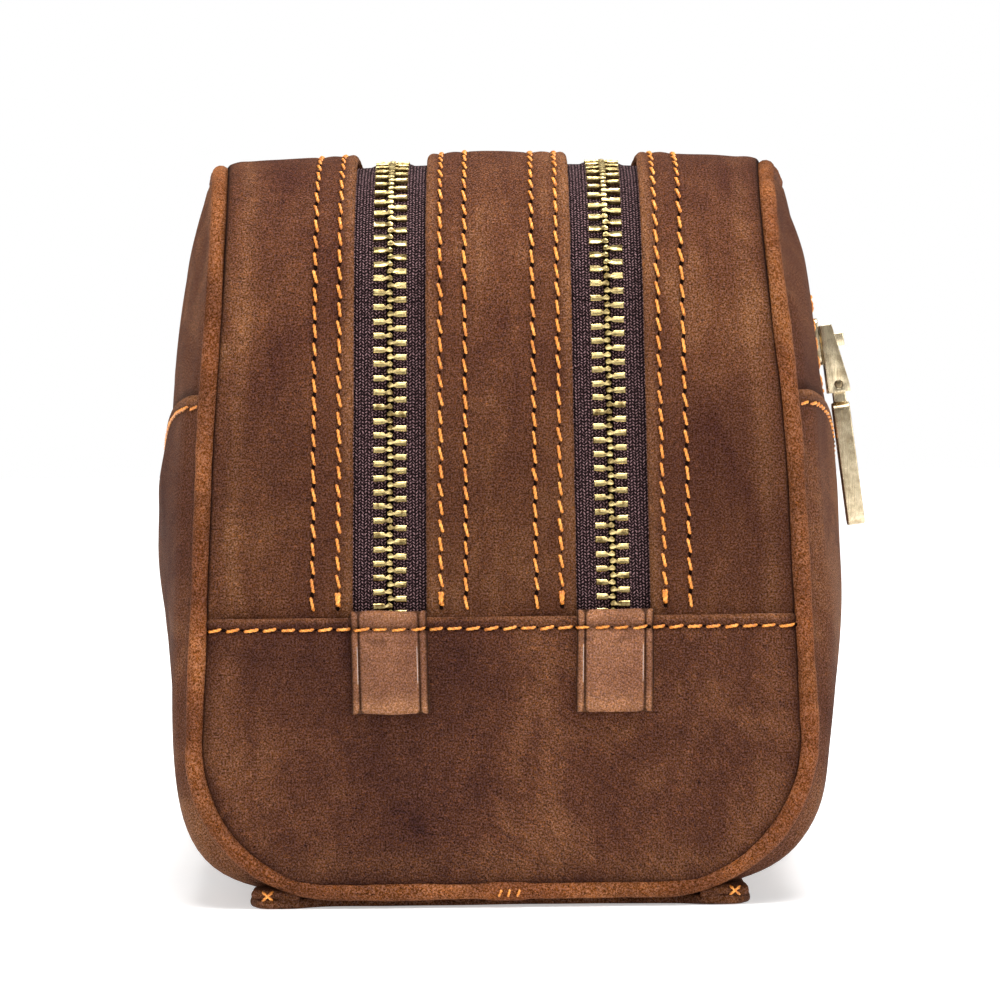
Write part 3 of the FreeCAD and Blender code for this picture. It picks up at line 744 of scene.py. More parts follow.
SEAM_Y = np.linspace(-118, 118, 237)
SEAM_PLACE = wall_place(SEAM_Y, seam_height(SEAM_Y) - 0.1)


def lower_top(y):
    """The distance up the wall of the lower panels' top edge."""
    return np.interp(y, SEAM_Y, SEAM_PLACE)


def lower_surface(y, q, side):
    """A lower side panel, which turns under the bag."""
    y, q = floats(y, q)
    top = lower_top(y)
    d = top - q
    flat = np.stack([0 * y + side * 60, y, q], -1)
    end = WRAP_END - np.abs(y)
    inset = 0.24 * bump(d - 2.6, 0.6) - 0.14 * bump(d - 1.2, 0.8)
    soft = smooth((q - 40) / 25) * smooth(d / 14) * smooth(end / 12)
    inset = inset - 0.55 * soft * wobble(flat, 75, 21 + int(side)) - 0.16 * soft * wobble(flat, 19, 25)
    inset = inset + 1.0 * np.clip((2.0 - end) / 2.0, 0, 1) ** 2
    if side > 0:
        flattened = smooth(end / 35) * smooth(d / 14) * smooth((q - 22) / 20)
        inset = inset + flattened * (0.6 + 0.8 * bump(q - 58, 24))
    else:
        inset = inset - 1.3 * bump(q - 50, 13) * smooth(end / 8)
    made = wall_point(y, q, inset)
    made[..., 0] *= side
    return tucked(made, end)


def upper_surface(y, q, side):
    """An upper side panel. The front one is pulled flat along the pocket's zip."""
    y, q = floats(y, q)
    flat = np.stack([0 * y + side * 60, y, q], -1)
    end = WRAP_END - np.abs(y)
    z = table_value(WALL_Z, y, q)
    soft = smooth((z - seam_height(y)) / 8) * smooth((wrap_top(y) - z) / 8) * smooth(end / 10)
    inset = UPPER_STEP - 0.35 * soft * wobble(flat, 60, 31 + int(side)) - 0.1 * wobble(flat, 15, 35)
    inset = inset + 0.9 * np.clip((1.8 - end) / 1.8, 0, 1) ** 2
    inset = inset + 0.8 * np.clip((1.6 - (wrap_top(y) - z)) / 1.6, 0, 1) ** 2
    made = wall_point(y, q, inset)
    made[..., 0] -= edge_pull(y, z, side)
    made = tucked(made * (side, 1, 1), np.where(z < SHOULDER, end, 90.0)) * (side, 1, 1)
    if side > 0:
        away = (made - POCKET) @ POCKET_OUT
        local = (made - POCKET) @ POCKET_ACROSS
        gap = np.maximum(np.abs(local) - WINDOW_HALF, np.abs(y) - POCKET_HALF)
        lift = 2.15 + 0.14 * bump(gap - 1.2, 0.8) - 0.22 * bump(gap - 2.4, 0.6)
        lift = lift - 0.05 * wobble(flat, 22, 36)
        over = away - lift
        softened = -np.logaddexp(-over / 0.35, 0) * 0.35
        made = made + POCKET_OUT * np.where(over > -4, softened - over, 0)[..., None]
    else:
        made[..., 0] *= side
    return made


def pocket_point(across, along, out):
    """A point in the frame of the pocket's zip."""
    across, along, out = (value[..., None] for value in floats(across, along, out))
    return POCKET + across * POCKET_ACROSS + along * np.array([0.0, 1, 0]) + out * POCKET_OUT


# Sewing

def thread_shape(length, radius, rings=11, sides=8):
    """A stitch of two twisted strands along x whose ends dive into the leather, and its painted light at each
    point: lighter on top and on each strand's crest, darker underneath and at the ends.
    """
    t = np.linspace(-1, 1, rings)[:, None]
    angle = np.arange(sides)[None, :] * 2 * math.pi / sides
    twist = np.cos(2 * angle - 10.0 * t)
    size = radius * (1 - 0.35 * t ** 6) * (1 + 0.20 * twist)
    lift = radius * (0.60 - 2.0 * np.abs(t) ** 5)
    points = np.stack(floats(t * length / 2, size * np.cos(angle), lift + size * np.sin(angle)), -1)
    ply_light = np.clip(0.42 + 0.38 * np.sin(angle) + 0.30 * twist - 0.25 * np.abs(t) ** 4, 0, 1)
    faces = []
    for i in range(rings - 1):
        for j in range(sides):
            a, b = i * sides + j, i * sides + (j + 1) % sides
            faces.append((a, b, b + sides, a + sides))
    last = (rings - 1) * sides
    faces.append(tuple(range(sides))[::-1])
    faces.append(tuple(last + k for k in range(sides)))
    return points.reshape(-1, 3), [f[::-1] for f in faces], ply_light.ravel()


def hole_shape():
    """A needle hole, as a low dimple that carries its painted shade."""
    angle = np.arange(8) * math.pi / 4
    points = np.stack([0.52 * np.cos(angle), 0.36 * np.sin(angle), 0 * angle - 0.10], 1)
    return np.vstack([points, [[0, 0, 0.16]]]), [(i, (i + 1) % 8, 8) for i in range(8)], np.zeros(9)


def surface_row(surface, u, v, margin=0.0):
    """Places, directions, normals and spacing of stitches along a line on a surface."""
    points = surface(u, v)
    length = run_length(points)
    room = length[-1] - 2 * margin
    count = max(1, int(round(room / PITCH)))
    at = margin + (np.arange(count) + 0.5) * room / count
    place = along_line(at, length, points)
    ahead = along_line(at + 0.6, length, points)
    behind = along_line(at - 0.6, length, points)
    along = unit(ahead - behind)
    iu = np.interp(at, length, np.broadcast_to(u, length.shape))
    iv = np.interp(at, length, np.broadcast_to(v, length.shape))
    a = surface(iu + 0.3, iv) - surface(iu - 0.3, iv)
    b = surface(iu, iv + 0.3) - surface(iu, iv - 0.3)
    out = unit(np.cross(a, b))
    out *= np.where(np.sum(out * (place - CENTRE), 1) < 0, -1, 1)[:, None]
    return place, along, out, room / count


def sew(name, rows, seed, slant=12.0, radius=0.28, tacks=(), weight=None, holes=True):
    """Stitches along rows, with needle holes between them."""
    draw = np.random.default_rng(seed)
    points, faces, kinds, loads, ply_lights = [], [], [], [], []
    base = 0

    def add(shape, place, along, out, kind):
        nonlocal base
        local, polygons, ply_light = shape
        side = np.cross(out, along)
        points.append(place + local[:, :1] * along + local[:, 1:2] * side + local[:, 2:] * out)
        faces.extend(tuple(base + k for k in f) for f in polygons)
        kinds.extend([kind] * len(polygons))
        ply_lights.append(ply_light)
        loads.append(np.full(len(local), 0.0 if weight is None else float(weight(place))))
        base += len(local)

    hole = hole_shape()
    for places, alongs, outs, pitch in rows:
        for place, along, out in zip(places, alongs, outs):
            side = np.cross(out, along)
            turn = math.radians(slant + draw.uniform(-5, 5))
            way = along * math.cos(turn) + side * math.sin(turn)
            shape = thread_shape(pitch * draw.uniform(0.82, 0.92), radius * draw.uniform(0.93, 1.08))
            nudge = side * draw.uniform(-0.07, 0.07)
            add(shape, place + nudge + out * 0.02, way, out, 0)
            if holes:
                add(hole, place + along * pitch / 2 + nudge, along, out, 1)
    for place, along, out in tacks:
        side = np.cross(out, along)
        for shift, lift, turn in ((-0.13, 0.04, 6), (0.13, 0.16, -5)):
            way = along * math.cos(math.radians(turn)) + side * math.sin(math.radians(turn))
            add(thread_shape(2.7, radius * 1.2), place + side * shift + out * lift, way, out, 0)
        add(hole, place + along * 1.55, along, out, 1)
    obj = build(
        name, np.vstack(points), faces, ["thread", "needle_hole_shade"],
        fields={"ply_light": np.concatenate(ply_lights)}, face_material=kinds,
    )
    return obj, np.concatenate(loads)


# Mouth shares and placing pieces

def mouth_share(x, y, z):
    """How far a point of an outer strip follows its mouth, fading out at the ends and at the fold."""
    lens = smooth((82.0 - np.abs(y)) / 44.0) * (z > 100)
    return lens * smooth((HINGE_X + 2.5 - np.abs(x)) / 6.0)


def opening(obj, name, side, shares):
    """Bakes a piece's placement into its mesh; the shares that it is given are not used."""
    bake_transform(obj)


def points_of(obj):
    flat = np.empty(3 * len(obj.data.vertices))
    obj.data.vertices.foreach_get("co", flat)
    return flat.reshape(-1, 3) / MM


def settle(obj, body, nodes=()):
    """Gives a piece its body, and hides the CAD nodes that it stands for."""
    if body is not None:
        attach(obj, body)
    if nodes:
        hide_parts(*nodes)
    return obj


# The band: strips, end panels and their stitches

BAND_LENGTH = band_place(PANEL_TOP - 3.0)


def tone_fields(distance, far=None):
    """Lightening of turned edges; darkening along the stitch rows, and painted shade beside the piping."""
    edge = 0.6 * smooth(1 - distance / 3.2)
    soil_and_shade = 0.0
    for row in ROWS:
        soil_and_shade = soil_and_shade + 0.35 * bump(distance - row, 0.6)
    if far is not None:
        # Painted shade in the groove beside the piping.
        soil_and_shade = soil_and_shade + 0.5 * smooth(1 - far / 2.6) + 1.1 * smooth(1 - far / 1.2)
        edge = edge + 0.3 * bump(far - 4.5, 1.5)
    return edge, np.clip(soil_and_shade, 0, 1)


def make_strips():
    s = edged(-BAND_LENGTH, BAND_LENGTH, 1.08)
    grid_s, grid_x = grid_of(s, edged(-INNER_EDGE, INNER_EDGE, 0.62))
    top = strip_surface(grid_s, grid_x)
    edge, soil_and_shade = tone_fields(INNER_EDGE - np.abs(grid_x))
    # Painted shade: darker low down the ends of the band.
    soil_and_shade = np.maximum(soil_and_shade, 0.32 * smooth((np.abs(grid_s) - 135) / 35))
    flat = np.stack([grid_x, grid_s, 0 * grid_s], -1)
    strip = sheet("centre_strip_leather", top, LEATHER, "leather", flat=flat, edge=edge, soil_and_shade=soil_and_shade)
    settle(strip, "root", ["centre_strip"])
    share = edged(0.0, 28.0, 0.66) / 28.0
    for name, side in SIDES:
        grid_s, grid_v = grid_of(s, share)
        reach = piping_x(grid_s, side) - 0.9 - OUTER_EDGE
        grid_x = side * (OUTER_EDGE + grid_v * reach)
        top = strip_surface(grid_s, grid_x)
        edge, soil_and_shade = tone_fields(grid_v * reach, (1 - grid_v) * reach)
        # Painted shade: darker low down the ends of the band.
        soil_and_shade = np.maximum(soil_and_shade, 0.24 * smooth((np.abs(grid_s) - 135) / 35))
        flat = np.stack([grid_x, grid_s, 0 * grid_s], -1)
        strip = sheet(name + "_strip_leather", top, LEATHER, "leather", flat=flat, edge=edge, soil_and_shade=soil_and_shade)
        settle(strip, None, [name + "_strip", name + "_mouth_flap"])
        place = points_of(strip)
        opening(strip, name, side, mouth_share(*place.T))


def band_rows(positions):
    """Stitch rows along the band at these distances from its middle, and the tacks at their ends."""
    rows, tacks = [], []
    reach = band_place(PANEL_TOP + 1.0)
    s = np.linspace(-reach, reach, 900)
    for x, tacked in positions:
        row = surface_row(strip_surface, s, np.full_like(s, x), 0.8 if tacked else 0.0)
        rows.append(row)
        if tacked:
            for k, way in ((0, -1), (-1, 1)):
                tacks.append((row[0][k], way * row[1][k], row[2][k]))
    return rows, tacks


def make_strip_stitches():
    centre = [(way * (INNER_EDGE - row), row < 5) for way in (-1, 1) for row in ROWS]
    rows, tacks = band_rows(centre)
    obj, _ = sew("centre_strip_stitches", rows, 41, tacks=tacks)
    settle(obj, "root")
    for name, side in SIDES:
        rows, tacks = band_rows([(side * (OUTER_EDGE + row), row < 5) for row in ROWS])
        obj, shares = sew(
            name + "_strip_stitches", rows, 42 + side, tacks=tacks, weight=lambda p: mouth_share(*p)
        )
        opening(obj, name, side, shares)


def make_end_panels():
    low = 3.3
    z = np.concatenate([
        low + 22.0 * (1 - np.cos(np.linspace(0, math.pi / 2, 26)[:-1])),
        lines((low + 22.0, 47.5, 0.8), (47.5, 51.0, 0.3))[:-1], PANEL_TOP + 0.3 - np.array(EDGE_LINES)[::-1],
    ])
    share = edged(-50.0, 50.0, 1.1) / 50.0
    for name, way in ENDS:
        grid_z, grid_a = grid_of(z, share)
        top = end_surface(grid_z, grid_a, way)
        flat = np.stack([top[..., 0], 0 * grid_z + way * 60, grid_z], -1)
        half = either(grid_a, end_half_width(grid_z, 1), end_half_width(grid_z, -1))
        e = np.minimum((1 - np.abs(grid_a)) * half, grid_z - 3.0)
        d = PANEL_TOP + 0.3 - grid_z
        edge = 0.9 * smooth(1 - d / 1.6) + 0.25 * bump(e - 5, 2.2)
        # Painted shade beside the piping round the panel, darker along the stitch row, and painted shade low
        # down near the floor.
        soil_and_shade = 0.6 * smooth(1 - e / 2.8) + 1.1 * smooth(1 - e / 1.3)
        soil_and_shade = soil_and_shade + 0.35 * bump(d - 2.5, 0.6) + 0.28 * smooth(1 - grid_z / 16)
        panel = sheet(
            name + "_end_leather", top, LEATHER, "dark_leather",
            flat=flat, edge=edge, soil_and_shade=np.clip(soil_and_shade, 0, 1),
        )
        settle(panel, "root", [name + "_end_panel"])

        def surface(u, v, way=way):
            return end_surface(u, v / 50.0, way)

        v = np.linspace(-49.2, 49.2, 400)
        row = surface_row(surface, np.full_like(v, PANEL_TOP - 2.0), v)
        place = row[0]
        for side in (-1, 1):
            across = place[:, 0] - side * TAB_X
            over = smooth((TAB_HALF + 0.6 - np.abs(across)) / 1.2)
            proud = tab_proud(across, place[:, 2], side) - way * place[:, 1] + HALF_LENGTH
            place[:, 1] += way * over * proud
        obj, _ = sew(name + "_end_stitches", [row], 47 + way, slant=-8 * way)
        settle(obj, "root")


def tab_proud(x, z, side):
    """How far a tab stands off its end: sewn down at the seam, puffed below, creased beside each edge."""
    x, z = floats(x, z)
    flat = np.stack([x + 20 * side, 0 * x, z], -1)
    folds = np.stack([0.25 * x + 20 * side, 0 * x, 1.6 * z], -1)
    below = smooth((49.2 - z) / 3.5)
    proud = 2.25 + 0.30 * below - 0.80 * bump(z - (PANEL_TOP - 2.0), 0.75)
    proud = proud + 0.42 * below * smooth((TAB_CREASE - np.abs(x)) / 2.2)
    proud = proud - 0.15 * smooth((42 - z) / 8) + 0.10 * wobble(flat, 7, 61 + side)
    creased = 0.12 * bump(z - 47.9, 1.0) * wobble(folds, 3.4, 63 + side)
    proud = proud + creased * smooth((TAB_CREASE - np.abs(x)) / 1.5)
    proud = proud - 0.48 * bump(np.abs(x) - TAB_CREASE, 0.24)
    return proud - 0.22 * smooth((np.abs(x) - TAB_CREASE) / 0.8)


def make_tabs():
    """The folded tabs over the ends of the zips."""
    for end, way in ENDS:
        for name, side in SIDES:
            z = edged(TAB_LOW, 53.2, 0.34)
            x = edged(-TAB_HALF, TAB_HALF, 0.17)
            grid_z, grid_x = grid_of(z, x)
            flat = np.stack([grid_x + 20 * side, 0 * grid_x, grid_z], -1)
            lean = 0.15 * (grid_z - 44) / 9 * side
            proud = tab_proud(grid_x, grid_z, side)
            top = np.stack([side * TAB_X + grid_x + lean, way * (HALF_LENGTH + proud), grid_z], -1)
            lit = smooth((48.5 - grid_z) / 2) * smooth((grid_z - 38.0) / 3)
            edge = 0.9 * smooth(1 - (grid_z - TAB_LOW) / 5.0) + 0.35 * bump(grid_z - 52.4, 1.2)
            # Painted highlight: a thin pale line just left of each crease, carried in the edge field above 1.
            glint = bump(grid_x - TAB_CREASE + 0.34, 0.15) + bump(grid_x + TAB_CREASE + 0.34, 0.15)
            edge = edge + 1.6 * lit * glint
            # Painted shade in each crease and in the wrinkles below the seam, darker along the seam, and dark
            # edge paint on the cut sides.
            soil_and_shade = 0.95 * bump(np.abs(grid_x) - TAB_CREASE, 0.24)
            soil_and_shade = soil_and_shade + 0.5 * bump(grid_z - (PANEL_TOP - 2.0), 0.6)
            soil_and_shade = soil_and_shade + 0.95 * smooth((np.abs(grid_x) - TAB_HALF + 0.42) / 0.3)
            soil_and_shade = soil_and_shade + 0.35 * bump(grid_z - 47.9, 0.8) * smooth(wobble(flat, 5, 65 + side))
            tab = sheet(
                f"{end}_{name}_tab_leather", top, TAB_LEATHER, "tab_leather", flat=flat,
                edge=np.clip(edge, 0, 1.4), soil_and_shade=np.clip(soil_and_shade, 0, 1),
            )
            settle(tab, "root", [f"{end}_{name}_tab"])


# The wrap: side panels, base and piping

def make_side_panels():
    corner = RUN + WRAP_CORNER * np.sin(np.linspace(0, math.pi / 2, 26))
    y_half = np.concatenate([lines((0, RUN, 2.0))[:-1], corner])
    y_upper = np.concatenate([-y_half[:0:-1], y_half])
    y_lower = edged(-WRAP_END, WRAP_END, 2.0)
    for name, side in SIDES:
        top_place = lower_top(y_lower)
        share = np.concatenate([lines((0, 0.86, 0.014))[:-1], 1 - (edged(0, 20, 0.55) / 143)[::-1][6:]])
        share = np.unique(np.clip(share, 0, 1))
        q = share[None, :] * top_place[:, None]
        y = np.broadcast_to(y_lower[:, None], q.shape)
        top = lower_surface(y, q, side)
        d, end = top_place[:, None] - q, WRAP_END - np.abs(y)
        edge = 0.8 * smooth(1 - d / 3.4) + 0.35 * bump(top[..., 2] - 14, 7) * (q > 25)
        # Darker along the stitch row, and painted shade at the ends where the panel draws in to the piping.
        soil_and_shade = 0.35 * bump(d - 2.6, 0.6) + 0.7 * smooth(1 - end / 2.4)
        panel = sheet(
            name + "_lower_leather", top, SIDE_LEATHER, "leather", flat=np.stack([0 * y + 90 * side, y, q], -1),
            edge=np.clip(edge, 0, 1), soil_and_shade=np.clip(soil_and_shade, 0, 1),
        )
        settle(panel, "root", [name + "_lower_panel"])
        low = wall_place(y_upper, seam_height(y_upper) - 1.2)
        slot_low = wall_place(y_upper, POCKET[2] - WINDOW_HALF * POCKET_RISE)
        slot_high = wall_place(y_upper, POCKET[2] + WINDOW_HALF * POCKET_RISE)
        high = wall_place(y_upper, wrap_top(y_upper))
        zones = []
        for start, end_q, size in ((low, slot_low, 16), (slot_low, slot_high, 12.8), (slot_high, high, 22)):
            span = edged(0, size, 0.6) / size
            zones.append(start[:, None] + span[None, :] * (end_q - start)[:, None])
        q = np.concatenate([zones[0][:, :-1], zones[1][:, :-1], zones[2]], 1)
        first, second = zones[0].shape[1] - 1, zones[0].shape[1] + zones[1].shape[1] - 2
        steps = [way * e for way in (-1, 1) for e in EDGE_LINES[1:]]
        rims = POCKET_HALF + np.array([0.0, *steps])
        extra = np.sort(np.concatenate([y_upper, rims, -rims]))
        q = np.stack([np.interp(extra, y_upper, q[:, k]) for k in range(q.shape[1])], 1)
        y = np.broadcast_to(extra[:, None], q.shape)
        top = upper_surface(y, q, side)
        distance = edge_distance(top)
        keep = None
        z = top[..., 2]
        edge = 0.4 * smooth(1 - (wrap_top(y) - z) / 5)
        # Painted shade at the ends beside the piping, and along the bottom under the lower panel's edge.
        soil_and_shade = 0.7 * smooth(1 - (WRAP_END - np.abs(y)) / 2.4) + 0.5 * smooth(1 - (z - seam_height(y)) / 2.2)
        if side > 0:
            rows = np.arange(q.shape[1] - 1)
            middle = (extra[1:] + extra[:-1]) / 2
            in_window = (rows >= first) & (rows < second)
            keep = ~((np.abs(middle)[:, None] < POCKET_HALF) & in_window[None, :])
            local = (top - POCKET) @ POCKET_ACROSS
            gap = np.maximum(np.abs(local) - WINDOW_HALF, np.abs(y) - POCKET_HALF)
            distance = np.minimum(distance, np.maximum(gap, 0))
            edge = edge + 0.8 * smooth(1 - gap / 3.2) * (gap > -0.5)
            soil_and_shade = soil_and_shade + 0.35 * bump(gap - 2.4, 0.6)
        panel = sheet(
            name + "_upper_leather", top, UPPER_LEATHER, "leather", keep, distance,
            np.stack([0 * y + 60 * side, y, q + 300], -1), np.clip(edge, 0, 1), np.clip(soil_and_shade, 0, 1),
        )
        settle(panel, "root", [name + "_upper_panel"])


def make_side_stitches():
    y = np.linspace(-WRAP_END + 2.2, WRAP_END - 2.2, 500)
    for name, side in SIDES:

        def lower(u, v, side=side):
            return lower_surface(u, v, side)

        rows = [surface_row(lower, y, lower_top(y) - 2.6)]
        obj, _ = sew(name + "_side_stitches", rows, 53 + side)
        settle(obj, "root")

    def around(across, along):
        q = wall_place(along, POCKET[2] - across * POCKET_RISE)
        return upper_surface(along, q, 1)

    reach, wide = POCKET_HALF + 2.4, WINDOW_HALF + 2.4
    rows = []
    long = np.linspace(-reach, reach, 260)
    short = np.linspace(-wide, wide, 40)
    for way in (-1, 1):
        rows.append(surface_row(around, np.full_like(long, way * wide), long))
        rows.append(surface_row(around, short, np.full_like(short, way * reach)))
    obj, _ = sew("pocket_stitches", rows, 57)
    settle(obj, "root")


def make_base():
    x = edged(-45, 45, 1.6)
    y = edged(-113, 113, 1.8)
    grid_y, grid_x = grid_of(y, x)
    trim = np.clip((np.abs(grid_y) - 109) / 4, 0, 1)
    grid_x = grid_x * (1 - (4 / 45) * (1 - np.sqrt(np.clip(1 - trim ** 2, 0, 1)))) - 0.8
    reach = 3.1 * smooth((np.abs(grid_y) - 107) / 6) * smooth((np.abs(grid_x + 0.8) - 31) / 7)
    top = np.stack([grid_x, grid_y + np.sign(grid_y) * reach, 0 * grid_x], -1)
    d = edge_distance(top)
    top[..., 2] = 0.10 + 0.45 * bump(d - 3.0, 0.7) + 0.03 * wobble(top, 16, 71)
    edge = 0.6 * smooth(1 - d / 3)
    base = sheet("base_leather", top, BASE_LEATHER, "dark_leather", edge=edge, soil_and_shade=0.4 * bump(d - 3, 0.7))
    settle(base, "root", ["base_panel"])

    for name, way in ENDS:
        for end, middle in (("front", 39.4), ("back", -41.0)):
            grid_y, grid_x = grid_of(edged(-4.0, 4.0, 0.6), edged(-4.3, 4.3, 0.6))
            outward = grid_x * (1 if middle > 0 else -1)
            level = np.stack([grid_x, grid_y, 0 * grid_x], -1)
            low = 1.75 + 0.06 * wobble(level, 6, 74) - 0.8 * smooth(-outward / 5)
            top = np.stack([middle + grid_x, way * 112.2 + grid_y, low], -1)
            corner = sheet(
                f"{name}_{end}_base_corner", top, CORNER_LEATHER, "leather",
                edge=np.full_like(low, 0.2), soil_and_shade=np.full_like(low, 0.1),
            )
            settle(corner, "root")

    def under(u, v):
        u, v = floats(u, v)
        return np.stack([u, v, 0 * u + 0.62], -1)

    rows = []
    for way in (-1, 1):
        long, short = np.linspace(-109, 109, 300), np.linspace(-41, 41, 100)
        rows.append(surface_row(under, np.full_like(long, way * 42.0), long))
        rows.append(surface_row(under, short, np.full_like(short, way * 110.0)))
    obj, _ = sew("base_stitches", rows, 73)
    settle(obj, "root")


def tube(name, route, radius, material, fields, sides=14):
    """A tube along a closed line of points, with a radius at each point and side."""
    count = len(route)
    ahead = unit(np.roll(route, -1, 0) - np.roll(route, 1, 0))
    frame_x = [unit(np.cross(ahead[0], (0.0, 0.3, 1.0)))]
    for i in range(1, count + 1):
        step = frame_x[-1] - ahead[i % count] * (frame_x[-1] @ ahead[i % count])
        frame_x.append(unit(step))
    side = np.cross(ahead[0], frame_x[0])
    twist = math.atan2(frame_x[-1] @ side, frame_x[-1] @ frame_x[0])
    frame_x = np.array(frame_x[:-1])
    frame_y = np.cross(ahead, frame_x)
    angle = np.arange(sides)[None, :] * 2 * math.pi / sides - twist * np.arange(count)[:, None] / count
    r = radius(angle)
    first, second = (r * np.cos(angle))[..., None], (r * np.sin(angle))[..., None]
    points = route[:, None] + first * frame_x[:, None] + second * frame_y[:, None]
    i, j = grid_of(np.arange(count), np.arange(sides))
    a, b = i * sides + j, i * sides + (j + 1) % sides
    c, d = ((i + 1) % count) * sides + (j + 1) % sides, ((i + 1) % count) * sides + j
    faces = np.stack([a, b, c, d], -1).reshape(-1, 4)
    values = {k: np.broadcast_to(f(points), angle.shape).ravel() for k, f in fields.items()}
    return build(name, points.reshape(-1, 3), faces.tolist(), material, fields=values)


def make_piping():
    """The piping, lapped and sewn at the middle of the near end, and the base's cross stitches."""
    joint = int(np.argmin(np.linalg.norm(ROUTE - np.array([0.6, -HALF_LENGTH + 1, 3.0]), axis=1)))
    away = (np.arange(len(ROUTE)) - joint) * ROUTE_STEP
    bend = np.linalg.norm(np.roll(ROUTE, -6, 0) + np.roll(ROUTE, 6, 0) - 2 * ROUTE, axis=1)
    bend = np.clip(bend / bend.max(), 0, 1)

    def radius(angle):
        lumps = 0.045 * wobble(ROUTE, 16, 81)[:, None] + 0.03 * wobble(ROUTE, 5, 82)[:, None]
        folds = 0.05 * bend[:, None] * np.cos(away * 2.4)[:, None] * (0.5 + 0.5 * np.cos(angle))
        lap = 0.22 * (smooth((away + 3.2) / 0.9) * smooth((3.4 - away) / 0.9))[:, None]
        return PIPING_RADIUS + lumps + folds + lap + 0 * angle

    piping = tube("piping_leather_tube", ROUTE, radius, "piping_leather", fields={
        "edge": lambda p: 0.06 + 0.25 * smooth(wobble(p, 30, 83)),
        "soil_and_shade": lambda p: 0.22 * smooth(wobble(p, 22, 84)),
    })
    settle(piping, "root", ["piping"])
    front = -HALF_LENGTH - 0.78
    rows, crosses = [], []
    outward = np.array([[0, -1.0, 0]])
    for x in (-1.6, 0.0, 1.7):
        rows.append((np.array([[x + 0.8, front, 2.7]]), np.array([[0.35, 0, 0.94]]), outward, 1.7))
    for x, z in ((-42.4, 2.4), (41.2, 2.6)):
        for tilt in (-1, 1):
            along = unit(np.array([[0.75, 0.0, 0.66 * tilt]]))
            crosses.append((np.array([[x, -116.2, z]]), along, outward, 3.0))
    for name, group, seed in (("piping_joint_stitches", rows, 85), ("base_cross_stitches", crosses, 86)):
        obj, _ = sew(name, group, seed, slant=0.0, radius=0.24, holes=False)
        settle(obj, "root")


# Zips

def tooth_shape():
    """One cast tooth across the zip: a block that grips the tape, a neck and a nib."""
    outline = np.array([
        (3.02, -0.50), (3.02, 0.50), (1.35, 0.52), (1.05, 0.46), (0.78, 0.24), (0.48, 0.30), (0.30, 0.56),
        (0.02, 0.62), (-0.22, 0.42), (-0.52, 0.20), (-0.55, -0.16), (-0.30, -0.42), (0.10, -0.44),
        (0.48, -0.34), (0.80, -0.34), (1.05, -0.46), (1.35, -0.52),
    ])
    middle = np.array([1.2, 0.0])
    low, high = -1.2, 1.2
    nib = np.clip((0.55 - outline[:, 0]) / 0.5, 0, 1)
    rings = [
        np.column_stack([outline, np.full(len(outline), low)]),
        np.column_stack([outline, np.full(len(outline), high - 0.32)]),
        np.column_stack([outline * 0.985, high - 0.12 + 0.05 * nib]),
        np.column_stack([(outline - middle) * (0.93, 0.74) + middle, high + 0.08 * nib]),
    ]
    points = np.vstack(rings)
    n = len(outline)
    faces = [tuple(range(n))]
    for k in range(3):
        for i in range(n):
            a, b = k * n + i, k * n + (i + 1) % n
            faces.append((a, a + n, b + n, b))
    dent = len(points)
    x = np.array([2.55, 1.75, 0.95])
    ridge = np.column_stack([x, 0 * x, 0 * x + high - 0.10])
    points = np.vstack([points, ridge, [[0.05, 0.08, high + 0.16]]])
    top = 3 * n
    spine = [dent, dent + 1, dent + 2, dent + 3]
    marks = [0, 0, 1, 1, 2, 2, 2, 3, 3, 3, 3, 3, 3, 2, 2, 1, 1]
    owner = [spine[m] for m in marks]
    for i in range(n):
        j = (i + 1) % n
        if owner[i] == owner[j]:
            faces.append((top + j, top + i, owner[i]))
        else:
            faces.append((top + j, top + i, owner[i], owner[j]))
    return points, [f[::-1] for f in faces]


def chain(name, places, shares=None):
    """A row of teeth from their frames: middle, across, along and out."""
    local, polygons = tooth_shape()
    draw = np.random.default_rng(hash_of(name))
    points, rest, dirt, faces, loads = [], [], [], [], []
    for k, (middle, across, along, out) in enumerate(places):
        tilt = math.radians(draw.uniform(-2.5, 2.5))
        x = across * math.cos(tilt) + along * math.sin(tilt)
        y = along * math.cos(tilt) - across * math.sin(tilt)
        w = out * (1 + draw.uniform(-0.03, 0.03))
        points.append(middle + local[:, :1] * x + local[:, 1:2] * y + local[:, 2:] * w)
        rest.append(local + np.array([11.7 * k, 3.1 * k, 0]))
        dirt.append(np.clip((1.02 - local[:, 2]) / 0.5, 0, 1))
        turned = np.dot(np.cross(across, along), out) < 0
        faces.extend(tuple(k * len(local) + i for i in (f[::-1] if turned else f)) for f in polygons)
        loads.append(np.full(len(local), 0.0 if shares is None else shares[k]))
    fields = {"soil_and_shade": np.concatenate(dirt)}
    obj = build(name, np.vstack(points), faces, "zip_teeth", np.vstack(rest), fields, smooth_shading=False)
    return obj, np.concatenate(loads)


def hash_of(name):
    """A seed from a name, the same every time."""
    return sum((i + 1) * ord(c) for i, c in enumerate(name))


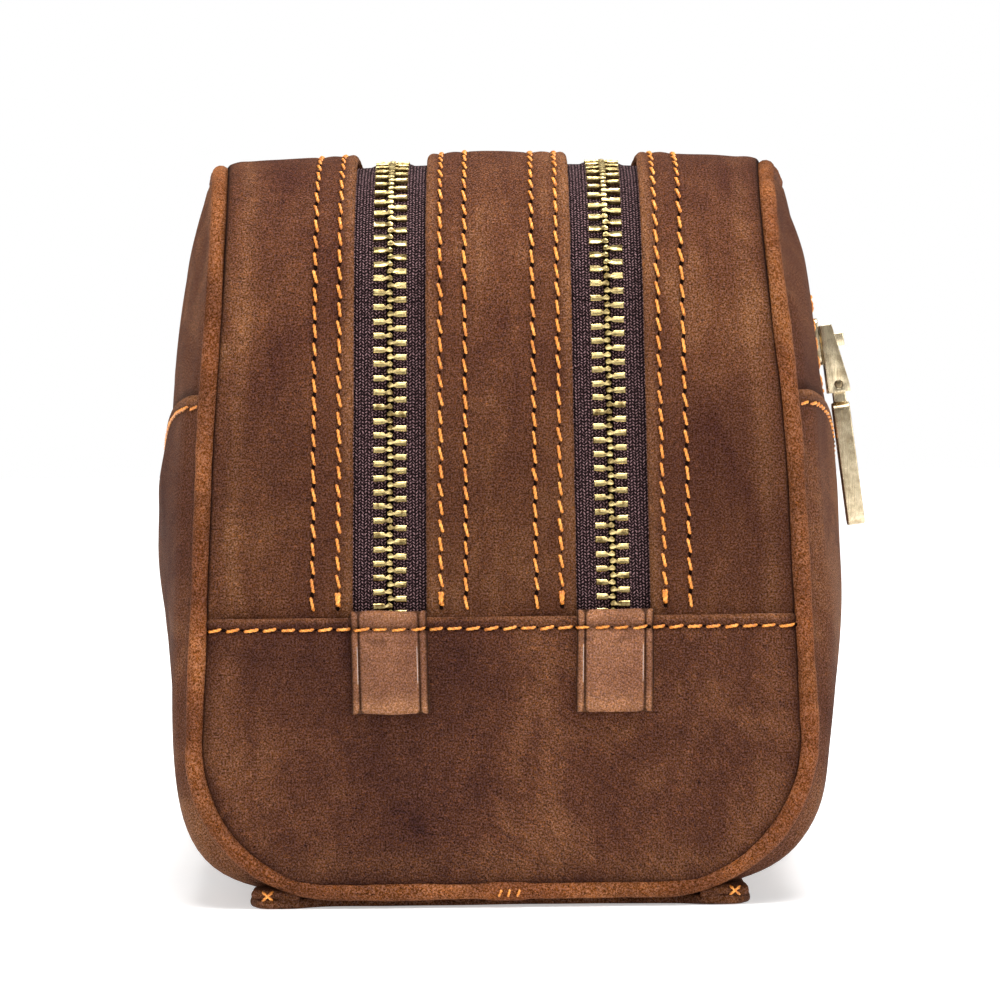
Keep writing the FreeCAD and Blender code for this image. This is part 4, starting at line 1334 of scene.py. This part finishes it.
def zip_frames(side, outward):
    """Frames of a main zip's teeth: the outer row for outward 1, the inner one for -1."""
    radius = END_CORNER - ZIP_DEPTH
    span = RUN + radius * math.pi / 2 + SHOULDER - TEETH_BOTTOM
    count = int(span / TOOTH_PITCH) + 1
    shift = 0.5 if outward > 0 else 0.0
    frames = []
    for i in range(-count, count):
        along = (i + shift) * TOOTH_PITCH
        way, far = (1 if along >= 0 else -1), abs(along)
        turn = min(max((far - RUN) / radius, 0), math.pi / 2)
        down = max(far - RUN - radius * math.pi / 2, 0)
        y = way * (min(far, RUN) + radius * math.sin(turn))
        z = SHOULDER + radius * math.cos(turn) - down - crown_drop(ZIP_X) * math.cos(turn)
        middle = np.array([side * ZIP_X * fan(along), y, z])
        tangent = np.array([0, math.cos(turn), -way * math.sin(turn)])
        out = np.array([0, way * math.sin(turn), math.cos(turn)])
        across = np.array([float(side * outward), 0, 0])
        frames.append((middle, across, tangent, out))
    return frames


def tape_lines(reach, step):
    """Grid lines across a tape, close together at the edge that holds the teeth."""
    return np.concatenate([edged(TAPE_START, 6.4, 0.4)[:-6], lines((6.4, reach, step))])


def tape_cord(across):
    """Height of the cord that the teeth grip, and of the ridge beside it."""
    return 0.35 * bump(across - TAPE_CORD, 0.42) + 0.12 * bump(across - 1.6, 0.7)


def tape_grid(side, outward):
    """The visible and hidden width of one main tape."""
    reach = band_place(TAPE_BOTTOM)
    grid_s, grid_a = grid_of(edged(-reach, reach, TAPE_WEAVE), tape_lines(TAPE_HALF, 1.0))
    ribs = 0.05 * np.cos(grid_s * 2 * math.pi / TOOTH_PITCH)
    level = ZIP_DEPTH - 0.25 - tape_cord(grid_a) - ribs + 0.25 * smooth((0.6 - grid_a) / 0.2)
    x = side * (ZIP_X + outward * grid_a)
    top = band_point(grid_s, x, level)
    return top, np.stack([grid_a, grid_s, 0 * grid_s], -1)


def make_main_zips():
    for name, side in SIDES:
        for row, outward in (("inner", -1), ("outer", 1)):
            top, flat = tape_grid(side, outward)
            tape = sheet(f"{name}_{row}_tape", top, TAPE, "zip_tape", flat=flat)
            frames = zip_frames(side, outward)
            middles = np.array([f[0] for f in frames])
            if outward < 0:
                settle(tape, "root", [name + "_zip_inner_tape"])
                teeth, _ = chain(f"{name}_{row}_teeth", frames)
                settle(teeth, "root", [name + "_zip_inner_teeth"])
                continue
            settle(tape, None, [name + "_zip_mouth_tape", name + "_zip_end_tapes"])
            place = points_of(tape)
            opening(tape, name, side, mouth_share(0, place[:, 1], place[:, 2]))
            shares = mouth_share(0, middles[:, 1], middles[:, 2])
            teeth, loads = chain(f"{name}_{row}_teeth", frames, shares)
            settle(teeth, None, [name + "_zip_mouth_teeth", name + "_zip_end_teeth"])
            opening(teeth, name, side, loads)


def make_pocket_zip():
    count = int((POCKET_HALF - 3) / TOOTH_PITCH)
    for row, side in (("upper", -1), ("lower", 1)):
        grid_s, grid_a = grid_of(edged(-78, 78, TAPE_WEAVE), tape_lines(9.5, 0.8))
        level = 0.25 + tape_cord(grid_a) - 0.25 * smooth((0.6 - grid_a) / 0.2)
        tape = sheet(
            f"pocket_{row}_tape", pocket_point(side * grid_a, grid_s, level), TAPE, "zip_tape",
            flat=np.stack([grid_a, grid_s, 0 * grid_s], -1),
        )
        settle(tape, "root", [f"pocket_zip_{row}_tape"])
        shift = 0.5 if side > 0 else 0.0
        along = np.array([0.0, 1, 0])
        frames = [
            (POCKET + (i + shift) * TOOTH_PITCH * along, side * POCKET_ACROSS, along, POCKET_OUT)
            for i in range(-count, count)
        ]
        teeth, _ = chain(f"pocket_{row}_teeth", frames)
        settle(teeth, "root", [f"pocket_zip_{row}_teeth"])


# Metal

def finished_metal(node, name, body, slot, width, segments, axes):
    """A machined copy of a CAD node: welded, with its edges rounded."""
    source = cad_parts[node].data
    mesh = bmesh.new()
    mesh.from_mesh(source)
    bmesh.ops.remove_doubles(mesh, verts=mesh.verts, dist=1e-6)
    bmesh.ops.dissolve_limit(mesh, angle_limit=math.radians(2), verts=mesh.verts, edges=mesh.edges)
    sharp = [e for e in mesh.edges if e.is_manifold and e.calc_face_angle(0) > math.radians(28)]
    bmesh.ops.bevel(
        mesh, geom=sharp, offset=width * MM, segments=segments, profile=0.5, affect="EDGES",
        clamp_overlap=True,
    )
    bmesh.ops.triangulate(mesh, faces=[f for f in mesh.faces if len(f.verts) > 4])
    made = bpy.data.meshes.new(name)
    mesh.to_mesh(made)
    mesh.free()
    obj = bpy.data.objects.new(name, made)
    scene.collection.objects.link(obj)
    made.materials.clear()
    made.materials.append(MATERIALS[slot])
    rest = (points_of(obj) @ np.array(axes, float).T).astype(np.float32)
    made.attributes.new("rest", "FLOAT_VECTOR", "POINT").data.foreach_set("vector", rest.ravel())
    for polygon in made.polygons:
        polygon.use_smooth = True
    made.set_sharp_from_angle(angle=math.radians(35))
    return settle(obj, body, [node])


def make_metal():
    upright = ((1, 0, 0), (0, 1, 0), (0, 0, 1))
    across = ((0, 1, 0), (0, 0, 1), (1, 0, 0))
    for name in ("front", "back", "pocket"):
        axes = upright if name == "pocket" else across
        finished_metal(name + "_slider", name + "_slider_metal", name + "_slider", "brass", 0.16, 2, axes)
        finished_metal(name + "_puller_link", name + "_link_metal", name + "_link", "brass", 0.42, 4, axes)
        finished_metal(name + "_puller_pin", name + "_pin_metal", name + "_link", "pin_brass", 0.12, 2, axes)
        finished_metal(name + "_puller_bar", name + "_bar_metal", name + "_bar", "brass", 0.36, 4, axes)
    finished_metal("pocket_zip_stops", "pocket_stops_metal", "root", "zip_teeth", 0.2, 2, upright)


# Inside

def inner_reach(z, radius, straight):
    """How far along the bag a cloth inside it reaches at this height."""
    rounded = RUN + np.sqrt(np.clip(radius ** 2 - (z - SHOULDER) ** 2, 0, None))
    return np.where(z > SHOULDER, rounded, straight)


def make_linings():
    for name, side, inset in (("front", 1, 10.0), ("back", -1, 4.0)):
        lean = 1.6
        floor_z = float(wall_point(np.zeros(1), np.zeros(1), inset)[0, 2])
        down = [(lean, z) for z in np.linspace(120, floor_z + 4, 34)] + [(lean + 1.2, floor_z + 1.2)]
        rows = []
        for y in edged(-LINING_SPAN, LINING_SPAN, 3.2):
            stretch = y * 113.4 / LINING_SPAN
            q = np.linspace(5.0, float(wall_place(np.array([stretch]), np.array([120.0]))[0]), 52)
            up = wall_point(np.full_like(q, stretch), q, inset)
            rows.append(np.vstack([[(x, stretch, z) for x, z in down], up]))
        top = np.array(rows)
        limit = inner_reach(top[..., 2], LINING_CORNER, LINING_END)
        top[..., 1] = np.sign(top[..., 1]) * np.minimum(np.abs(top[..., 1]), limit)
        hang = 0.35 * wobble(top, 48, 91 + side) + 0.15 * wobble(top, 14, 92)
        away = smooth((113 - np.abs(top[..., 1])) / 12)
        top[..., 0] = np.maximum(top[..., 0] + hang * away * smooth((top[..., 0] - 1.6) / 6), 1.5)
        top[..., 0] *= side
        sack = sheet(name + "_lining_cloth", top, LINING, "lining")
        ends = []
        for end_name, way in ENDS:
            loop = top[0] if way < 0 else top[-1]
            z = np.linspace(floor_z + 0.2, 119.6, 34)
            right = np.interp(z, loop[35:, 2], np.abs(loop[35:, 0]))
            grid_z, grid_a = grid_of(z, np.linspace(0, 1, 18))
            x = 1.7 + grid_a * (right[:, None] - 1.7)
            reach = inner_reach(grid_z, LINING_CORNER, LINING_END)
            end = np.stack([side * x, way * (reach - 0.3), grid_z], -1)
            ends.append(sheet(f"{name}_lining_end_{end_name}", end, LINING, "lining"))
        settle(sack, "root", [name + "_lining"])
        for end in ends:
            settle(end, "root")


def make_divider():
    z = edged(5.0, 132.6, 2.4)
    share = edged(-100, 100, 2.6) / 100
    grid_z, grid_a = grid_of(z, share)
    reach = inner_reach(grid_z, DIVIDER_CORNER, DIVIDER_END)
    place = np.stack([0 * grid_z, grid_a * reach, grid_z], -1)
    sag = 0.12 * wobble(place, 50, 95)
    place[..., 0] = 0.8 + sag * smooth((1 - np.abs(grid_a)) * 8)
    leaf = sheet("divider_cloth", place, DIVIDER, "lining")
    settle(leaf, "root", ["divider"])


def make_pouch():
    """The pocket's pouch: one cloth that goes down behind the wall, turns and comes back up."""
    y = edged(-74.6, 74.6, 2.6)
    rows = []
    for station in y:
        close = float(smooth((75 - abs(station)) / 4))
        half = 0.25 + 0.35 * close
        heights = np.linspace(90, 37.2, 26)
        places = wall_place(np.full_like(heights, station), heights)
        outer = wall_point(np.full_like(places, station), places, 3.8 - half)
        inner = wall_point(np.full_like(places, station), places[::-1], 3.8 + half)
        low = wall_point(np.array([station]), places[-1:] - 0.7, 3.8)
        rows.append(np.vstack([outer, low, inner]))
    pouch = sheet("pocket_pouch_cloth", np.array(rows), POUCH, "lining")
    settle(pouch, "root", ["pocket_lining"])


# The set

def make_stage():
    """A white floor that glows as painted light, a little more further out so that it is darker round the bag,
    a soft sky and three lamps.
    """
    mesh = bpy.data.meshes.new("floor")
    corners = [(x * 6.0, y * 6.0, 0) for x, y in ((-1, -1), (1, -1), (1, 1), (-1, 1))]
    mesh.from_pydata(corners, [], [(0, 1, 2, 3)])
    floor = bpy.data.objects.new("floor", mesh)
    scene.collection.objects.link(floor)
    s = Shader("floor")
    place = s.node("ShaderNodeTexCoord", output="Object")
    away = s.node("ShaderNodeVectorMath", {0: place}, output="Value", operation="LENGTH")
    # Painted light: the floor glows 0.42 near the middle and 0.85 from 0.8 m out, leaving it darker round the
    # bag.
    glow = s.mix(s.spread(away, 0.14, 0.8), (0.42, 0.42, 0.42), (0.85, 0.85, 0.85))
    s.link(glow, s.surface.inputs["Emission Color"])
    mesh.materials.append(s.finish((0.80, 0.80, 0.80), 0.6, Specular_IOR_Level=0.1, Emission_Strength=1.0))
    world = bpy.data.worlds.new("studio")
    world.use_nodes = True
    tree = world.node_tree
    tree.nodes.clear()
    soft, bright = (tree.nodes.new("ShaderNodeBackground") for _ in range(2))
    soft.inputs["Color"].default_value = (1, 0.99, 0.97, 1)
    way = tree.nodes.new("ShaderNodeTexCoord")
    parts = tree.nodes.new("ShaderNodeSeparateXYZ")
    sky = tree.nodes.new("ShaderNodeMapRange")
    for socket, value in zip(sky.inputs[1:], (-0.1, 1.0, 0.18, 0.66)):
        socket.default_value = value
    tree.links.new(way.outputs["Generated"], parts.inputs[0])
    tree.links.new(parts.outputs[2], sky.inputs[0])
    tree.links.new(sky.outputs[0], soft.inputs["Strength"])
    seen = tree.nodes.new("ShaderNodeLightPath")
    mixed = tree.nodes.new("ShaderNodeMixShader")
    out = tree.nodes.new("ShaderNodeOutputWorld")
    tree.links.new(seen.outputs["Is Camera Ray"], mixed.inputs[0])
    tree.links.new(soft.outputs[0], mixed.inputs[1])
    tree.links.new(bright.outputs[0], mixed.inputs[2])
    tree.links.new(mixed.outputs[0], out.inputs[0])
    bright.inputs["Color"].default_value = (1, 1, 1, 1)
    scene.world = world
    scene.view_settings.view_transform = "Standard"
    area_light("overhead", (0.1, -0.30, 1.15), (0, 0, 0.1), 0.8, 20.0)
    area_light("right", (1.0, -0.75, 0.45), (0, -0.1, 0.07), 0.6, 7.0)
    area_light("left", (-0.9, -0.8, 0.55), (0, -0.1, 0.07), 0.6, 5.0)


make_strips()
make_strip_stitches()
make_end_panels()
make_tabs()
make_side_panels()
make_side_stitches()
make_base()
make_piping()
make_main_zips()
make_pocket_zip()
make_metal()
make_linings()
make_divider()
make_pouch()
make_stage()
